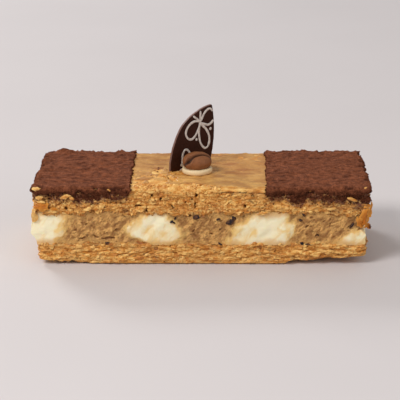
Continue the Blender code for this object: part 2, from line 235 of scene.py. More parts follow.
class ToppingSettings(PropertyGroup):
    """Sizes and colours of what lies on top."""

    cocoa: colour_setting("Cocoa", "Colour of the cocoa powder", (152, 89, 59))
    # Damp cocoa: the cocoa's own damp patches and mottling, and, with damp, painted shade down its sides; painted shade
    # in its pockets over the rim
    cocoa_damp_and_shade: colour_setting("Damp cocoa", "Colour of the cocoa where it is thick or damp", (64, 28, 14))
    cocoa_coat: length_setting("Cocoa coat", "Thickness of the cocoa coat", 0.9)
    glaze: colour_setting("Glaze", "Main colour of the coffee glaze", (222, 170, 94))
    # Glaze patches: the glaze's own darker patches and streaks, and painted shade towards the back, right of the disc
    # and over cracks
    glaze_patches_and_shade: colour_setting("Glaze patches", "Colour of the darker patches of the glaze", (168, 108, 50))
    glaze_coat: length_setting("Glaze coat", "Thickness of the glaze", 0.18)
    dark_chocolate: colour_setting("Dark chocolate", "Colour of the leaf", (56, 26, 15))
    # Leaf edge: painted sheen along the leaf's edge; also the colour where the print is worn thin
    leaf_edge_sheen_and_print_wear: colour_setting("Leaf edge", "Colour of the leaf's broken edge", (120, 88, 78))
    printed: colour_setting("Print", "Colour of the flourish printed on the leaf", (222, 214, 206))
    milk_chocolate: colour_setting("Milk chocolate", "Colour of the coffee bean", (140, 88, 52))
    # Crease: painted shade down the bean's crease
    crease: colour_setting("Crease", "Colour down the bean's crease", (48, 24, 12))
    white_chocolate: colour_setting("White chocolate", "Colour of the disc", (240, 216, 172))


class StageSettings(PropertyGroup):
    """Floor, lights and camera."""

    floor: colour_setting("Floor", "Colour of the floor", (212, 206, 206))
    key_power: FloatProperty(name="Key light", description="Power of the main light", default=6.8, unit="POWER")
    fill_power: FloatProperty(name="Fill light", description="Power of the fill light", default=1.9, unit="POWER")
    back_power: FloatProperty(name="Back light", description="Power of the light behind", default=16.0, unit="POWER")
    lens: FloatProperty(name="Lens", description="Focal length in mm", default=122.4, min=1.0)


# ---------------------------------------------------------------------------------------------------------
# Random patterns, worked out for whole lists of points at once


def hashed(cells, seed):
    """A repeatable random number from 0 to 1 for each row of three whole numbers."""
    whole = cells.astype(np.int64).astype(np.uint64)
    mask = np.uint64(0xFFFFFFFF)
    factors = (374761393, 668265263, 2246822519)
    mixed = np.full(cells.shape[:-1], (seed * 3266489917 + 12345) & 0xFFFFFFFF, dtype=np.uint64)
    for axis, factor in enumerate(factors):
        mixed = (mixed ^ ((whole[..., axis] * np.uint64(factor)) & mask)) & mask
        mixed = (mixed * np.uint64(2654435761)) & mask
        mixed = mixed ^ (mixed >> np.uint64(15))
    return (mixed & np.uint64(0xFFFFFF)).astype(float) / 0xFFFFFF


def noise(points, size, seed=0):
    """Smooth noise from -1 to 1, with lumps of the given size in metres, one size or one for each axis."""
    place = points / np.asarray(size, dtype=float)
    cell = np.floor(place)
    part = place - cell
    part = part * part * (3.0 - 2.0 * part)
    total = np.zeros(len(points))
    for corner in itertools.product((0, 1), repeat=3):
        weight = np.prod(np.where(corner, part, 1.0 - part), axis=-1)
        total += weight * hashed(cell + np.array(corner), seed)
    return 2.0 * total - 1.0


def layered_noise(points, size, seed=0, octaves=3):
    """Noise with finer and weaker copies of itself on top."""
    size = np.asarray(size, dtype=float)
    total = np.zeros(len(points))
    for octave in range(octaves):
        total += noise(points, size / 2.0**octave, seed + 17 * octave) / 2.0**octave
    return total


def shards(points, size, seed=0):
    """Cells round scattered points: how far each point is from its cell's border, the cell's own random
    value, a second value, and where the point lies from the cell's middle."""
    place = points / np.asarray(size, dtype=float)
    cell = np.floor(place)
    nearest = np.full(len(points), 9.0)
    second = np.full(len(points), 9.0)
    value = np.zeros(len(points))
    other_value = np.zeros(len(points))
    offset = np.zeros((len(points), 3))
    for step in itertools.product((-1, 0, 1), repeat=3):
        near_cell = cell + np.array(step)
        middle = near_cell + np.stack([hashed(near_cell, seed + k) for k in range(3)], axis=-1)
        away = place - middle
        distance = np.linalg.norm(away, axis=-1)
        closer = distance < nearest
        second = np.where(closer, nearest, np.minimum(second, distance))
        nearest = np.where(closer, distance, nearest)
        value = np.where(closer, hashed(near_cell, seed + 5), value)
        other_value = np.where(closer, hashed(near_cell, seed + 6), other_value)
        offset = np.where(closer[:, None], away, offset)
    return second - nearest, value, other_value, offset, nearest


def smooth_step(values, low, high):
    """0 below low, 1 above high, and a soft rise between them."""
    share = np.clip((values - low) / (high - low), 0.0, 1.0)
    return share * share * (3.0 - 2.0 * share)


# ---------------------------------------------------------------------------------------------------------
# Meshes


def grid_faces(rows, columns, wrap=False):
    """Four-sided faces between rows of points. wrap joins each row's last point to its first."""
    index = np.arange(rows * columns).reshape(rows, columns)
    following = np.roll(index, -1, axis=1) if wrap else index[:, 1:]
    here = index if wrap else index[:, :-1]
    return np.stack([here[:-1], following[:-1], following[1:], here[1:]], axis=-1).reshape(-1, 4)


def make_mesh(name, points, faces, finish, marks=None):
    """A smooth shaded mesh object with one material, and its named marks, one number for each point."""
    mesh = bpy.data.meshes.new(name)
    mesh.from_pydata(np.asarray(points).tolist(), [], [list(map(int, face)) for face in faces])
    mesh.materials.append(finish)
    mesh.shade_smooth()
    for mark, values in (marks or {}).items():
        layer = mesh.attributes.new(mark, "FLOAT", "POINT")
        layer.data.foreach_set("value", np.asarray(values, dtype=np.float32))
    piece = bpy.data.objects.new(name, mesh)
    bpy.context.scene.collection.objects.link(piece)
    return piece


def into_slice(piece, body="root", stands_for=()):
    """Joins a finished piece to the slice's body and hides the solids that it stands for."""
    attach(piece, body)
    if stands_for:
        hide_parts(*stands_for)


# ---------------------------------------------------------------------------------------------------------
# Shader nodes


def add_node(tree, kind, inputs=None, **settings):
    """Adds a node, applies its settings, and links or sets its inputs."""
    node = tree.nodes.new(kind)
    for name, value in settings.items():
        setattr(node, name, value)
    for name, value in (inputs or {}).items():
        socket = node.inputs[name]
        if isinstance(value, bpy.types.NodeSocket):
            tree.links.new(value, socket)
        else:
            socket.default_value = value
    return node


def blend_colours(tree, share, first, second, how="MIX"):
    """A colour between two colours. Each input is a socket or a value."""
    node = add_node(tree, "ShaderNodeMix", data_type="RGBA", blend_type=how)
    for socket, value in ((node.inputs[0], share), (node.inputs[6], first), (node.inputs[7], second)):
        if isinstance(value, bpy.types.NodeSocket):
            tree.links.new(value, socket)
        elif isinstance(value, (int, float)):
            socket.default_value = value
        else:
            socket.default_value = (*value[:3], 1.0)
    return node.outputs[2]


def maths(tree, operation, first, second=0.0, clamp=False):
    """A number worked out from two numbers."""
    node = add_node(tree, "ShaderNodeMath", {0: first, 1: second}, operation=operation, use_clamp=clamp)
    return node.outputs[0]


def effect_group(name, inputs, outputs):
    """An empty shader node group with named number inputs and outputs."""
    group = bpy.data.node_groups.new(name, "ShaderNodeTree")
    for label, default in inputs:
        kind = "NodeSocketVector" if default is None else "NodeSocketFloat"
        socket = group.interface.new_socket(label, in_out="INPUT", socket_type=kind)
        if default is not None:
            socket.default_value = default
    for label in outputs:
        group.interface.new_socket(label, in_out="OUTPUT", socket_type="NodeSocketFloat")
    return group, add_node(group, "NodeGroupInput"), add_node(group, "NodeGroupOutput")


def patches_group():
    """Soft random patches: a mask that rises from 0 to 1 between two levels of noise."""
    if "Patches" in bpy.data.node_groups:
        return bpy.data.node_groups["Patches"]
    inputs = (("Vector", None), ("Per metre", 200.0), ("Low", 0.4), ("High", 0.6), ("Detail", 4.0), ("Warp", 0.0))
    group, start, end = effect_group("Patches", inputs, ("Mask",))
    ask = start.outputs
    cloud = add_node(
        group,
        "ShaderNodeTexNoise",
        {"Vector": ask["Vector"], "Scale": ask["Per metre"], "Detail": ask["Detail"], "Distortion": ask["Warp"]},
    )
    spread = add_node(
        group,
        "ShaderNodeMapRange",
        {"Value": cloud.outputs["Fac"], "From Min": ask["Low"], "From Max": ask["High"]},
        interpolation_type="SMOOTHSTEP",
    )
    group.links.new(spread.outputs["Result"], end.inputs["Mask"])
    return group


def grain_group():
    """Fine surface grain: coarse and fine noise and small pits, added up as one height."""
    if "Grain" in bpy.data.node_groups:
        return bpy.data.node_groups["Grain"]
    inputs = (("Vector", None), ("Coarse per metre", 900.0), ("Fine per metre", 3500.0), ("Fine share", 0.4))
    inputs += (("Pits per metre", 1500.0), ("Pit share", 0.0))
    group, start, end = effect_group("Grain", inputs, ("Height",))
    ask = start.outputs
    coarse = add_node(
        group, "ShaderNodeTexNoise", {"Vector": ask["Vector"], "Scale": ask["Coarse per metre"], "Detail": 3.0}
    )
    fine = add_node(
        group, "ShaderNodeTexNoise", {"Vector": ask["Vector"], "Scale": ask["Fine per metre"], "Detail": 2.0}
    )
    pits = add_node(group, "ShaderNodeTexVoronoi", {"Vector": ask["Vector"], "Scale": ask["Pits per metre"]})
    hollow = maths(group, "LESS_THAN", pits.outputs["Distance"], 0.28)
    height = maths(group, "ADD", coarse.outputs["Fac"], maths(group, "MULTIPLY", fine.outputs["Fac"], ask["Fine share"]))
    height = maths(group, "SUBTRACT", height, maths(group, "MULTIPLY", hollow, ask["Pit share"]))
    group.links.new(height, end.inputs["Height"])
    return group


def place_effect(tree, group, inputs):
    """Puts a shared effect in a material with its own values."""
    node = add_node(tree, "ShaderNodeGroup", node_tree=group)
    for name, value in inputs.items():
        if isinstance(value, bpy.types.NodeSocket):
            tree.links.new(value, node.inputs[name])
        else:
            node.inputs[name].default_value = value
    return node.outputs[0]


def start_material(name, roughness, specular=0.5):
    """A material with its Principled shader, and the place on the object that its patterns read."""
    finish = bpy.data.materials.new(name)
    finish.use_nodes = True
    tree = finish.node_tree
    shader = tree.nodes["Principled BSDF"]
    shader.inputs["Roughness"].default_value = roughness
    shader.inputs["Specular IOR Level"].default_value = specular
    place = add_node(tree, "ShaderNodeTexCoord").outputs["Object"]
    return finish, tree, shader, place


def stretched(tree, place, scale):
    """The place on the object, stretched or squeezed along each axis."""
    return add_node(tree, "ShaderNodeMapping", {"Vector": place, "Scale": scale}).outputs["Vector"]


def mark(tree, name):
    """A number stored on the mesh's points."""
    return add_node(tree, "ShaderNodeAttribute", attribute_name=name).outputs["Fac"]


def add_bump(tree, shader, height, distance, strength=1.0):
    """Fine relief from a height pattern."""
    bump = add_node(tree, "ShaderNodeBump", {"Height": height, "Distance": distance, "Strength": strength})
    tree.links.new(bump.outputs["Normal"], shader.inputs["Normal"])


def pastry_finish(settings):
    """Baked flaky pastry: every shard its own tone with a painted highlight on raised ledges, brown painted shade in
    its cracks and hollows, small blisters.
    """
    finish, tree, shader, place = start_material("Puff pastry", 0.48, 0.5)
    long_place = stretched(tree, place, (0.35, 0.35, 1.6))
    streaks = place_effect(
        tree, patches_group(), {"Vector": long_place, "Per metre": 900.0, "Low": 0.36, "High": 0.66, "Detail": 5.0}
    )
    clouds = place_effect(tree, patches_group(), {"Vector": place, "Per metre": 160.0, "Low": 0.35, "High": 0.68})
    flecks = place_effect(
        tree, patches_group(), {"Vector": long_place, "Per metre": 2300.0, "Low": 0.58, "High": 0.70, "Detail": 3.0}
    )
    # tone: each shard's own bake, with a painted highlight where ledges stand out
    tone = maths(tree, "ADD", maths(tree, "MULTIPLY", mark(tree, "tone"), 0.62), maths(tree, "MULTIPLY", streaks, 0.38))
    ramp = add_node(tree, "ShaderNodeValToRGB", {"Fac": tone})
    stops = ((0.0, settings.toasted), (0.36, settings.golden), (0.82, settings.pale))
    while len(ramp.color_ramp.elements) < len(stops):
        ramp.color_ramp.elements.new(0.5)
    for element, (position, colour) in zip(ramp.color_ramp.elements, stops):
        element.position = position
        element.color = (*colour, 1.0)
    colour = blend_colours(tree, maths(tree, "MULTIPLY", clouds, 0.28), ramp.outputs["Color"], settings.toasted)
    colour = blend_colours(tree, maths(tree, "MULTIPLY", flecks, 0.25), colour, settings.deep)
    # painted shade in cracks and hollows and along the sheet's cream side
    colour = blend_colours(tree, mark(tree, "crevice"), colour, settings.deep)
    dusty = place_effect(
        tree, patches_group(), {"Vector": place, "Per metre": 1100.0, "Low": 0.30, "High": 0.62, "Detail": 3.0}
    )
    dust = maths(tree, "MULTIPLY", mark(tree, "dust"), maths(tree, "ADD", dusty, 0.25), clamp=True)
    colour = blend_colours(tree, dust, colour, settings.dust)
    tree.links.new(colour, shader.inputs["Base Color"])
    grain = place_effect(
        tree, grain_group(), {"Vector": long_place, "Coarse per metre": 1500.0, "Fine per metre": 4200.0}
    )
    add_bump(tree, shader, grain, 0.0003)
    return finish


def caramel_finish(settings):
    """Caramelised pastry: amber, glossy, burnt where its tone is low."""
    finish, tree, shader, place = start_material("Caramelised pastry", 0.46, 0.25)
    patches = place_effect(
        tree, patches_group(), {"Vector": place, "Per metre": 420.0, "Low": 0.36, "High": 0.68, "Detail": 4.0}
    )
    colour = blend_colours(tree, maths(tree, "MULTIPLY", patches, 0.6), settings.caramel, settings.toasted)
    flecks = place_effect(
        tree, patches_group(), {"Vector": place, "Per metre": 1500.0, "Low": 0.50, "High": 0.70, "Detail": 3.0}
    )
    colour = blend_colours(tree, maths(tree, "MULTIPLY", flecks, 0.45), colour, settings.deep)
    colour = blend_colours(tree, mark(tree, "tone"), colour, settings.golden)
    colour = blend_colours(tree, mark(tree, "crevice"), colour, settings.burnt)
    tree.links.new(colour, shader.inputs["Base Color"])
    grain = place_effect(tree, grain_group(), {"Vector": place, "Coarse per metre": 700.0, "Fine per metre": 2600.0})
    add_bump(tree, shader, grain, 0.0002)
    return finish


def cocoa_finish(settings):
    """Dry cocoa powder: matte, grainy, darker where it is thick or damp; its sides darker from damp and painted shade,
    with painted shade in its pockets over the rim.
    """
    finish, tree, shader, place = start_material("Cocoa powder", 0.95, 0.15)
    damp = place_effect(tree, patches_group(), {"Vector": place, "Per metre": 420.0, "Low": 0.42, "High": 0.72})
    specks = place_effect(
        tree, patches_group(), {"Vector": place, "Per metre": 2600.0, "Low": 0.50, "High": 0.68, "Detail": 2.0}
    )
    ridges = place_effect(
        tree,
        patches_group(),
        {"Vector": stretched(tree, place, (0.5, 1.2, 1.2)), "Per metre": 800.0, "Low": 0.36, "High": 0.66},
    )
    # the cocoa's sides darker: damp cocoa and painted shade
    side_damp_and_shade = maths(tree, "MULTIPLY", mark(tree, "side"), 0.4)
    colour = blend_colours(tree, maths(tree, "MULTIPLY", damp, 0.35), settings.cocoa, settings.cocoa_damp_and_shade)
    colour = blend_colours(tree, maths(tree, "MULTIPLY", ridges, 0.45), colour, settings.cocoa_damp_and_shade)
    colour = blend_colours(tree, maths(tree, "MULTIPLY", specks, 0.62), colour, settings.cocoa_damp_and_shade)
    # crevice: painted shade over the rim pockets and the cracks beneath, and ridged mottling on top
    colour = blend_colours(tree, maths(tree, "MAXIMUM", side_damp_and_shade, mark(tree, "crevice")), colour, settings.cocoa_damp_and_shade)
    tree.links.new(colour, shader.inputs["Base Color"])
    grain = place_effect(
        tree,
        grain_group(),
        {"Vector": place, "Coarse per metre": 1700.0, "Fine per metre": 5200.0, "Fine share": 0.6},
    )
    add_bump(tree, shader, grain, 0.0005)
    return finish


def glaze_finish(settings):
    """Thin coffee glaze: satin, with soft darker patches, painted shade towards the back and right of the disc, and
    fine wrinkles.
    """
    finish, tree, shader, place = start_material("Coffee glaze", 0.42, 0.45)
    patches = place_effect(tree, patches_group(), {"Vector": place, "Per metre": 150.0, "Low": 0.40, "High": 0.66})
    streaks = place_effect(
        tree,
        patches_group(),
        {"Vector": stretched(tree, place, (0.5, 1.4, 1.0)), "Per metre": 700.0, "Low": 0.45, "High": 0.70},
    )
    colour = blend_colours(tree, maths(tree, "MULTIPLY", patches, 0.6), settings.glaze, settings.glaze_patches_and_shade)
    colour = blend_colours(tree, maths(tree, "MULTIPLY", streaks, 0.35), colour, settings.glaze_patches_and_shade)
    # crevice: darker where the glaze runs out, painted shade towards the back, right of the disc and over cracks
    # beneath, and the glaze's own streaks
    colour = blend_colours(tree, mark(tree, "crevice"), colour, settings.glaze_patches_and_shade)
    tree.links.new(colour, shader.inputs["Base Color"])
    grain = place_effect(
        tree, grain_group(), {"Vector": place, "Coarse per metre": 600.0, "Fine per metre": 2600.0, "Fine share": 0.3}
    )
    add_bump(tree, shader, grain, 0.00012)
    return finish


def creams_blended(tree, place, settings):
    """The colour of a cut cream, the same for both creams where they run into each other."""
    turned_place = add_node(tree, "ShaderNodeMapping", {"Vector": place, "Rotation": (0.0, SMEAR_SLANT, 0.0)})
    leaning = stretched(tree, turned_place.outputs["Vector"], (0.62, 0.9, 1.1))
    streaks = place_effect(
        tree, patches_group(), {"Vector": leaning, "Per metre": 330.0, "Low": 0.42, "High": 0.72, "Warp": 0.5}
    )
    vanilla = blend_colours(tree, maths(tree, "MULTIPLY", streaks, 0.85), settings.vanilla, settings.custard)
    mottle = place_effect(
        tree, patches_group(), {"Vector": leaning, "Per metre": 480.0, "Low": 0.38, "High": 0.62, "Warp": 0.3}
    )
    fine = place_effect(
        tree, patches_group(), {"Vector": leaning, "Per metre": 1500.0, "Low": 0.46, "High": 0.66, "Detail": 2.0}
    )
    coffee = blend_colours(tree, maths(tree, "MULTIPLY", mottle, 0.72), settings.coffee, settings.coffee_brown_and_pit_shade)
    coffee = blend_colours(tree, maths(tree, "MULTIPLY", fine, 0.55), coffee, settings.coffee_brown_and_pit_shade)
    share = mark(tree, "vanilla")
    middle = blend_colours(tree, 0.62, settings.coffee, settings.custard)
    low_share = maths(tree, "MULTIPLY", share, 2.0, clamp=True)
    high_share = maths(tree, "SUBTRACT", maths(tree, "MULTIPLY", share, 2.0), 1.0, clamp=True)
    colour = blend_colours(tree, low_share, coffee, middle)
    colour = blend_colours(tree, high_share, colour, vanilla)
    stain = maths(tree, "MULTIPLY", mark(tree, "pastry_stain"), 0.8)
    colour = blend_colours(tree, stain, colour, settings.stain)
    # crevice: painted shade in the coffee cream's pits and hollows
    colour = blend_colours(tree, mark(tree, "crevice"), colour, settings.coffee_brown_and_pit_shade)
    return colour, leaning


def vanilla_finish(settings):
    """Vanilla cream: pale and satin, with yellow streaks, browner where it meets its neighbours."""
    finish, tree, shader, place = start_material("Vanilla cream", 0.45, 0.45)
    shader.inputs["Subsurface Weight"].default_value = 0.2
    shader.inputs["Subsurface Radius"].default_value = (1.0, 0.7, 0.35)
    shader.inputs["Subsurface Scale"].default_value = 0.0012
    colour, leaning = creams_blended(tree, place, settings)
    tree.links.new(colour, shader.inputs["Base Color"])
    grain = place_effect(
        tree,
        grain_group(),
        {"Vector": leaning, "Coarse per metre": 500.0, "Fine per metre": 2200.0, "Fine share": 0.3},
    )
    add_bump(tree, shader, grain, 0.00007)
    return finish


def coffee_finish(settings):
    """Coffee cream: matte mousse full of small pits, darkened in them with painted shade."""
    finish, tree, shader, place = start_material("Coffee cream", 0.62, 0.35)
    shader.inputs["Subsurface Weight"].default_value = 0.2
    shader.inputs["Subsurface Radius"].default_value = (1.0, 0.7, 0.35)
    shader.inputs["Subsurface Scale"].default_value = 0.0010
    colour, leaning = creams_blended(tree, place, settings)
    tree.links.new(colour, shader.inputs["Base Color"])
    grain = place_effect(
        tree,
        grain_group(),
        {
            "Vector": leaning,
            "Coarse per metre": 1300.0,
            "Fine per metre": 3800.0,
            "Fine share": 0.5,
            "Pits per metre": 1500.0,
            "Pit share": 0.6,
        },
    )
    add_bump(tree, shader, grain, 0.00025)
    return finish


def speck_finish(settings):
    """Dark specks: nearly black and nearly matte, with brown patches."""
    finish, tree, shader, place = start_material("Dark speck", 0.62, 0.25)
    patches = place_effect(tree, patches_group(), {"Vector": place, "Per metre": 900.0, "Low": 0.4, "High": 0.7})
    colour = blend_colours(tree, maths(tree, "MULTIPLY", patches, 0.5), settings.speck, settings.coffee_brown_and_pit_shade)
    tree.links.new(colour, shader.inputs["Base Color"])
    grain = place_effect(
        tree, grain_group(), {"Vector": place, "Coarse per metre": 1200.0, "Fine per metre": 4000.0}
    )
    add_bump(tree, shader, grain, 0.00012)
    return finish


def chocolate_finish(name, colour, darker, roughness, rim=None, rim_mark="crevice", specular=0.3):
    """Set chocolate: satin, with faint cloudy patches and fine unevenness. rim is the colour of its marked
    edges or creases."""
    finish, tree, shader, place = start_material(name, roughness, specular)
    clouds = place_effect(tree, patches_group(), {"Vector": place, "Per metre": 260.0, "Low": 0.35, "High": 0.7})
    specks = place_effect(
        tree, patches_group(), {"Vector": place, "Per metre": 1800.0, "Low": 0.52, "High": 0.72, "Detail": 2.0}
    )
    shade = tuple(channel * darker for channel in colour)
    mixed = blend_colours(tree, maths(tree, "MULTIPLY", clouds, 0.6), colour, shade)
    mixed = blend_colours(tree, maths(tree, "MULTIPLY", specks, 0.45), mixed, shade)
    # rim: a painted sheen on the leaf's edge, painted shade down the bean's crease
    if rim:
        mixed = blend_colours(tree, mark(tree, rim_mark), mixed, rim)
    tree.links.new(mixed, shader.inputs["Base Color"])
    grain = place_effect(
        tree, grain_group(), {"Vector": place, "Coarse per metre": 600.0, "Fine per metre": 2600.0, "Fine share": 0.3}
    )
    add_bump(tree, shader, grain, 0.0001)
    return finish


def dark_chocolate_finish(settings):
    """The leaf's dark chocolate, with a painted sheen along its edge."""
    return chocolate_finish("Dark chocolate", settings.dark_chocolate, 0.7, 0.5, settings.leaf_edge_sheen_and_print_wear, "edge", 0.16)


def milk_chocolate_finish(settings):
    """The bean's milk chocolate, with painted shade down its crease."""
    return chocolate_finish("Milk chocolate", settings.milk_chocolate, 0.65, 0.5, settings.crease)


def white_chocolate_finish(settings):
    """The disc's white chocolate."""
    return chocolate_finish("White chocolate", settings.white_chocolate, 0.9, 0.45)


def print_finish(settings):
    """The pale print on the leaf, thin enough to look patchy."""
    finish, tree, shader, place = start_material("Pale print", 0.5, 0.4)
    worn = place_effect(tree, patches_group(), {"Vector": place, "Per metre": 1500.0, "Low": 0.42, "High": 0.70})
    colour = blend_colours(tree, maths(tree, "MULTIPLY", worn, 0.5), settings.printed, settings.leaf_edge_sheen_and_print_wear)
    tree.links.new(colour, shader.inputs["Base Color"])
    grain = place_effect(
        tree, grain_group(), {"Vector": place, "Coarse per metre": 1500.0, "Fine per metre": 4000.0}
    )
    add_bump(tree, shader, grain, 0.00004)
    return finish


def floor_finish(settings):
    """The pale matte floor, with the faintest unevenness."""
    finish, tree, shader, place = start_material("Floor", 0.8, 0.2)
    clouds = place_effect(tree, patches_group(), {"Vector": place, "Per metre": 6.0, "Low": 0.3, "High": 0.7})
    shade = tuple(channel * 0.97 for channel in settings.floor)
    colour = blend_colours(tree, clouds, settings.floor, shade)
    tree.links.new(colour, shader.inputs["Base Color"])
    return finish


# ---------------------------------------------------------------------------------------------------------
# Pastry sheets


def fold_over(flat_x, flat_y, half_x, half_y, rim=RIM, corner=CORNER):
    """Lays flat points onto the top of a slab with round corners, over its rim and down its sides.
    Gives places about the slab's middle with the top at 0, directions outwards, and the way down the side."""
    over_x = np.maximum(np.abs(flat_x) - (half_x - corner), 0.0)
    over_y = np.maximum(np.abs(flat_y) - (half_y - corner), 0.0)
    past = np.maximum(over_x, over_y)
    ratio = np.minimum(over_x, over_y) / np.maximum(past, 1e-9)
    angle = np.where(over_x >= over_y, 0.25 * np.pi * ratio, 0.5 * np.pi - 0.25 * np.pi * ratio)
    out_x = np.where(past > 0.0, np.cos(angle), 0.0) * np.sign(flat_x)
    out_y = np.where(past > 0.0, np.sin(angle), 0.0) * np.sign(flat_y)
    level = corner - rim
    bend = np.clip((past - level) / rim, 0.0, 0.5 * np.pi)
    reach = np.minimum(past, level) + rim * np.sin(bend)
    down = rim * (1.0 - np.cos(bend)) + np.maximum(past - level - 0.5 * np.pi * rim, 0.0)
    x = np.clip(flat_x, corner - half_x, half_x - corner) + out_x * reach
    y = np.clip(flat_y, corner - half_y, half_y - corner) + out_y * reach
    places = np.stack([x, y, -down], axis=-1)
    outward = np.stack([out_x * np.sin(bend), out_y * np.sin(bend), np.cos(bend)], axis=-1)
    return places, outward, down


def unfolded_reach(half, height, rim=RIM):
    """How far from the middle a flat point starts that ends at the foot of a side."""
    return half - 2.0 * rim + 0.5 * math.pi * rim + height


def side_spacing(reach, height, fine, middle):
    """Grid lines across an unfolded slab: finely spaced on the sides, differently in the middle."""
    inner = reach - height - 1.5 * MM
    edge_count = max(int(round((reach - inner) / fine)), 2)
    middle_count = max(int(round(2.0 * inner / middle)), 2)
    rising = np.linspace(-reach, -inner, edge_count, endpoint=False)
    across = np.linspace(-inner, inner, middle_count + 1)
    return np.concatenate([rising, across, -rising[::-1]])


def even_lines(low, high, spacing):
    """Evenly spaced grid lines."""
    return np.linspace(low, high, max(int(round((high - low) / spacing)), 2) + 1)


def flat_grid(x_lines, y_lines):
    """A flat grid of points, row by row: x and y of each point, and the number of rows and columns."""
    x, y = np.meshgrid(x_lines, y_lines)
    return x.ravel(), y.ravel(), len(y_lines), len(x_lines)


def border_of_grid(rows, columns):
    """The grid's border points, in order round it."""
    index = np.arange(rows * columns).reshape(rows, columns)
    return np.concatenate([index[0, :-1], index[:-1, -1], index[-1, :0:-1], index[:0:-1, 0]])


def bent_points(points, bend, size, seed):
    """Points pushed about by noise, so that a pattern read at them wanders."""
    pushes = [noise(points, size, seed + axis) for axis in range(3)]
    return points + bend * np.stack(pushes, axis=-1) * (1.0, 1.0, 0.5)


def terraces(field, steps):
    """Turns a smooth field into level ledges with sharp drops between them."""
    raised = field * steps
    floor = np.floor(raised)
    return (floor + smooth_step(raised - floor, 0.72, 1.0)) / steps


def ridges(points, size, seed, sharp):
    """Thin winding lines where noise passes through 0."""
    return smooth_step(1.0 - np.abs(noise(points, size, seed)), sharp, 1.0)


def hollows_at(points, table):
    """How deep each point lies in the hollows of a table: x, z, width, height in mm and lean in degrees."""
    depth = np.zeros(len(points))
    front = points[:, 1] < -0.8 * TOP_SHEET[1]
    for x, z, width, height, lean in table:
        across = points[:, 0] / MM - x
        up = points[:, 2] / MM - z
        turn = math.radians(lean)
        along = (across * math.cos(turn) + up * math.sin(turn)) / (0.5 * width)
        beside = (up * math.cos(turn) - across * math.sin(turn)) / (0.5 * height)
        spread = along**2 + beside**2 + 0.35 * noise(points, 0.8 * MM, 77)
        depth = np.maximum(depth, 1.0 - smooth_step(spread, 0.45, 1.25))
    return depth * front


def flaky_relief(points, down, settings, flaky):
    """Relief of a cut flaky side: wavy ledges broken into shards, cracks between them, pleats and hollows.
    Gives the way outwards, each point's tone, and how deep in a crack or hollow it lies. The tone is each shard's own
    bake with a painted highlight where ledges stand out; cracks and hollows get painted shade."""
    seed = flaky.seed
    long = flaky.shard_length
    side = smooth_step(down, 0.2 * MM, 1.1 * MM)
    bent = bent_points(points, flaky.wave, (5.0 * MM, 5.0 * MM, 3.0 * MM), seed)
    bent = bent_points(bent, 0.35 * MM, 1.2 * MM, seed + 3)
    field = noise(bent, (long, long, 1.1 * flaky.layer), seed + 6)
    field += 0.55 * noise(bent, (0.42 * long, 0.42 * long, 0.7 * flaky.layer), seed + 7)
    ledge = terraces(field, 2.6)
    cell = (0.62 * long, 0.62 * long, 1.3 * flaky.layer)
    _, value, other, offset, _ = shards(bent, cell, seed + 8)
    lean = (value - 0.5) * (offset[:, 0] + offset[:, 1]) + 1.3 * (other - 0.5) * offset[:, 2]
    small_cell = (0.27 * long, 0.27 * long, 0.55 * flaky.layer)
    _, small_value, small_other, small_offset, _ = shards(bent, small_cell, seed + 11)
    small_lean = (small_value - 0.5) * (small_offset[:, 0] + small_offset[:, 1] + small_offset[:, 2])
    rift_mask = smooth_step(noise(points, 3.2 * MM, seed + 14), -0.25, 0.45)
    rift = ridges(bent, (0.8 * long, 0.8 * long, 0.8 * flaky.layer), seed + 15, 0.90) * rift_mask
    split_mask = smooth_step(noise(points, 4.0 * MM, seed + 16), 0.0, 0.5)
    split = flaky.splits * ridges(bent, (1.7 * MM, 1.7 * MM, 3.6 * MM), seed + 17, 0.92) * split_mask
    crumple = layered_noise(points, (1.1 * MM, 1.1 * MM, 0.6 * MM), seed + 18)
    _, hole_value, _, _, hole_distance = shards(points, (5.5 * MM, 5.5 * MM, 3.2 * MM), seed + 20)
    hole_edge = 0.12 + 0.08 * layered_noise(points, 1.0 * MM, seed + 23, octaves=2)
    hole = (hole_value < flaky.holes) * (1.0 - smooth_step(hole_distance, 0.5 * hole_edge, hole_edge + 0.04))
    hole = np.maximum(hole, hollows_at(points, flaky.hollows))
    out = settings.shard_relief * (0.95 * ledge + 1.1 * lean + 0.5 * (value - 0.5) + 0.9 * small_lean)
    out += 0.17 * MM * crumple
    out -= settings.crack_depth * (rift + 0.9 * split) + settings.hole_depth * hole
    # tone: each shard's own bake, and paler where ledges and crumples stand out, a painted highlight
    tone = 0.30 * value + 0.22 * small_value + 0.26 * (0.5 + 0.5 * ledge) + 0.14 * (0.5 + 0.5 * crumple)
    tone += 0.10 * other
    # crevice: painted shade in the rifts, splits and hollows
    crevice = 0.72 * rift + 0.8 * split + 1.1 * hole
    if flaky.crust_crack:
        line = 1.25 * MM + 0.28 * MM * noise(points * (1.0, 0.0, 0.0), 3.0 * MM, seed + 30)
        along = smooth_step(points[:, 0], 2.0 * MM, 6.0 * MM) * (1.0 - smooth_step(points[:, 0], 20.5 * MM, 23.0 * MM))
        crust = np.exp(-(((down - line) / (0.2 * MM)) ** 2)) * along * (points[:, 1] < 0.0)
        out -= 0.6 * MM * crust
        # painted shade down the crack along the crust
        crevice += 0.7 * crust
    out = side * out + (1.0 - side) * 0.08 * MM * (crumple + ledge)
    return out, np.clip(tone, 0.0, 1.0), np.clip(crevice * side, 0.0, 1.0)


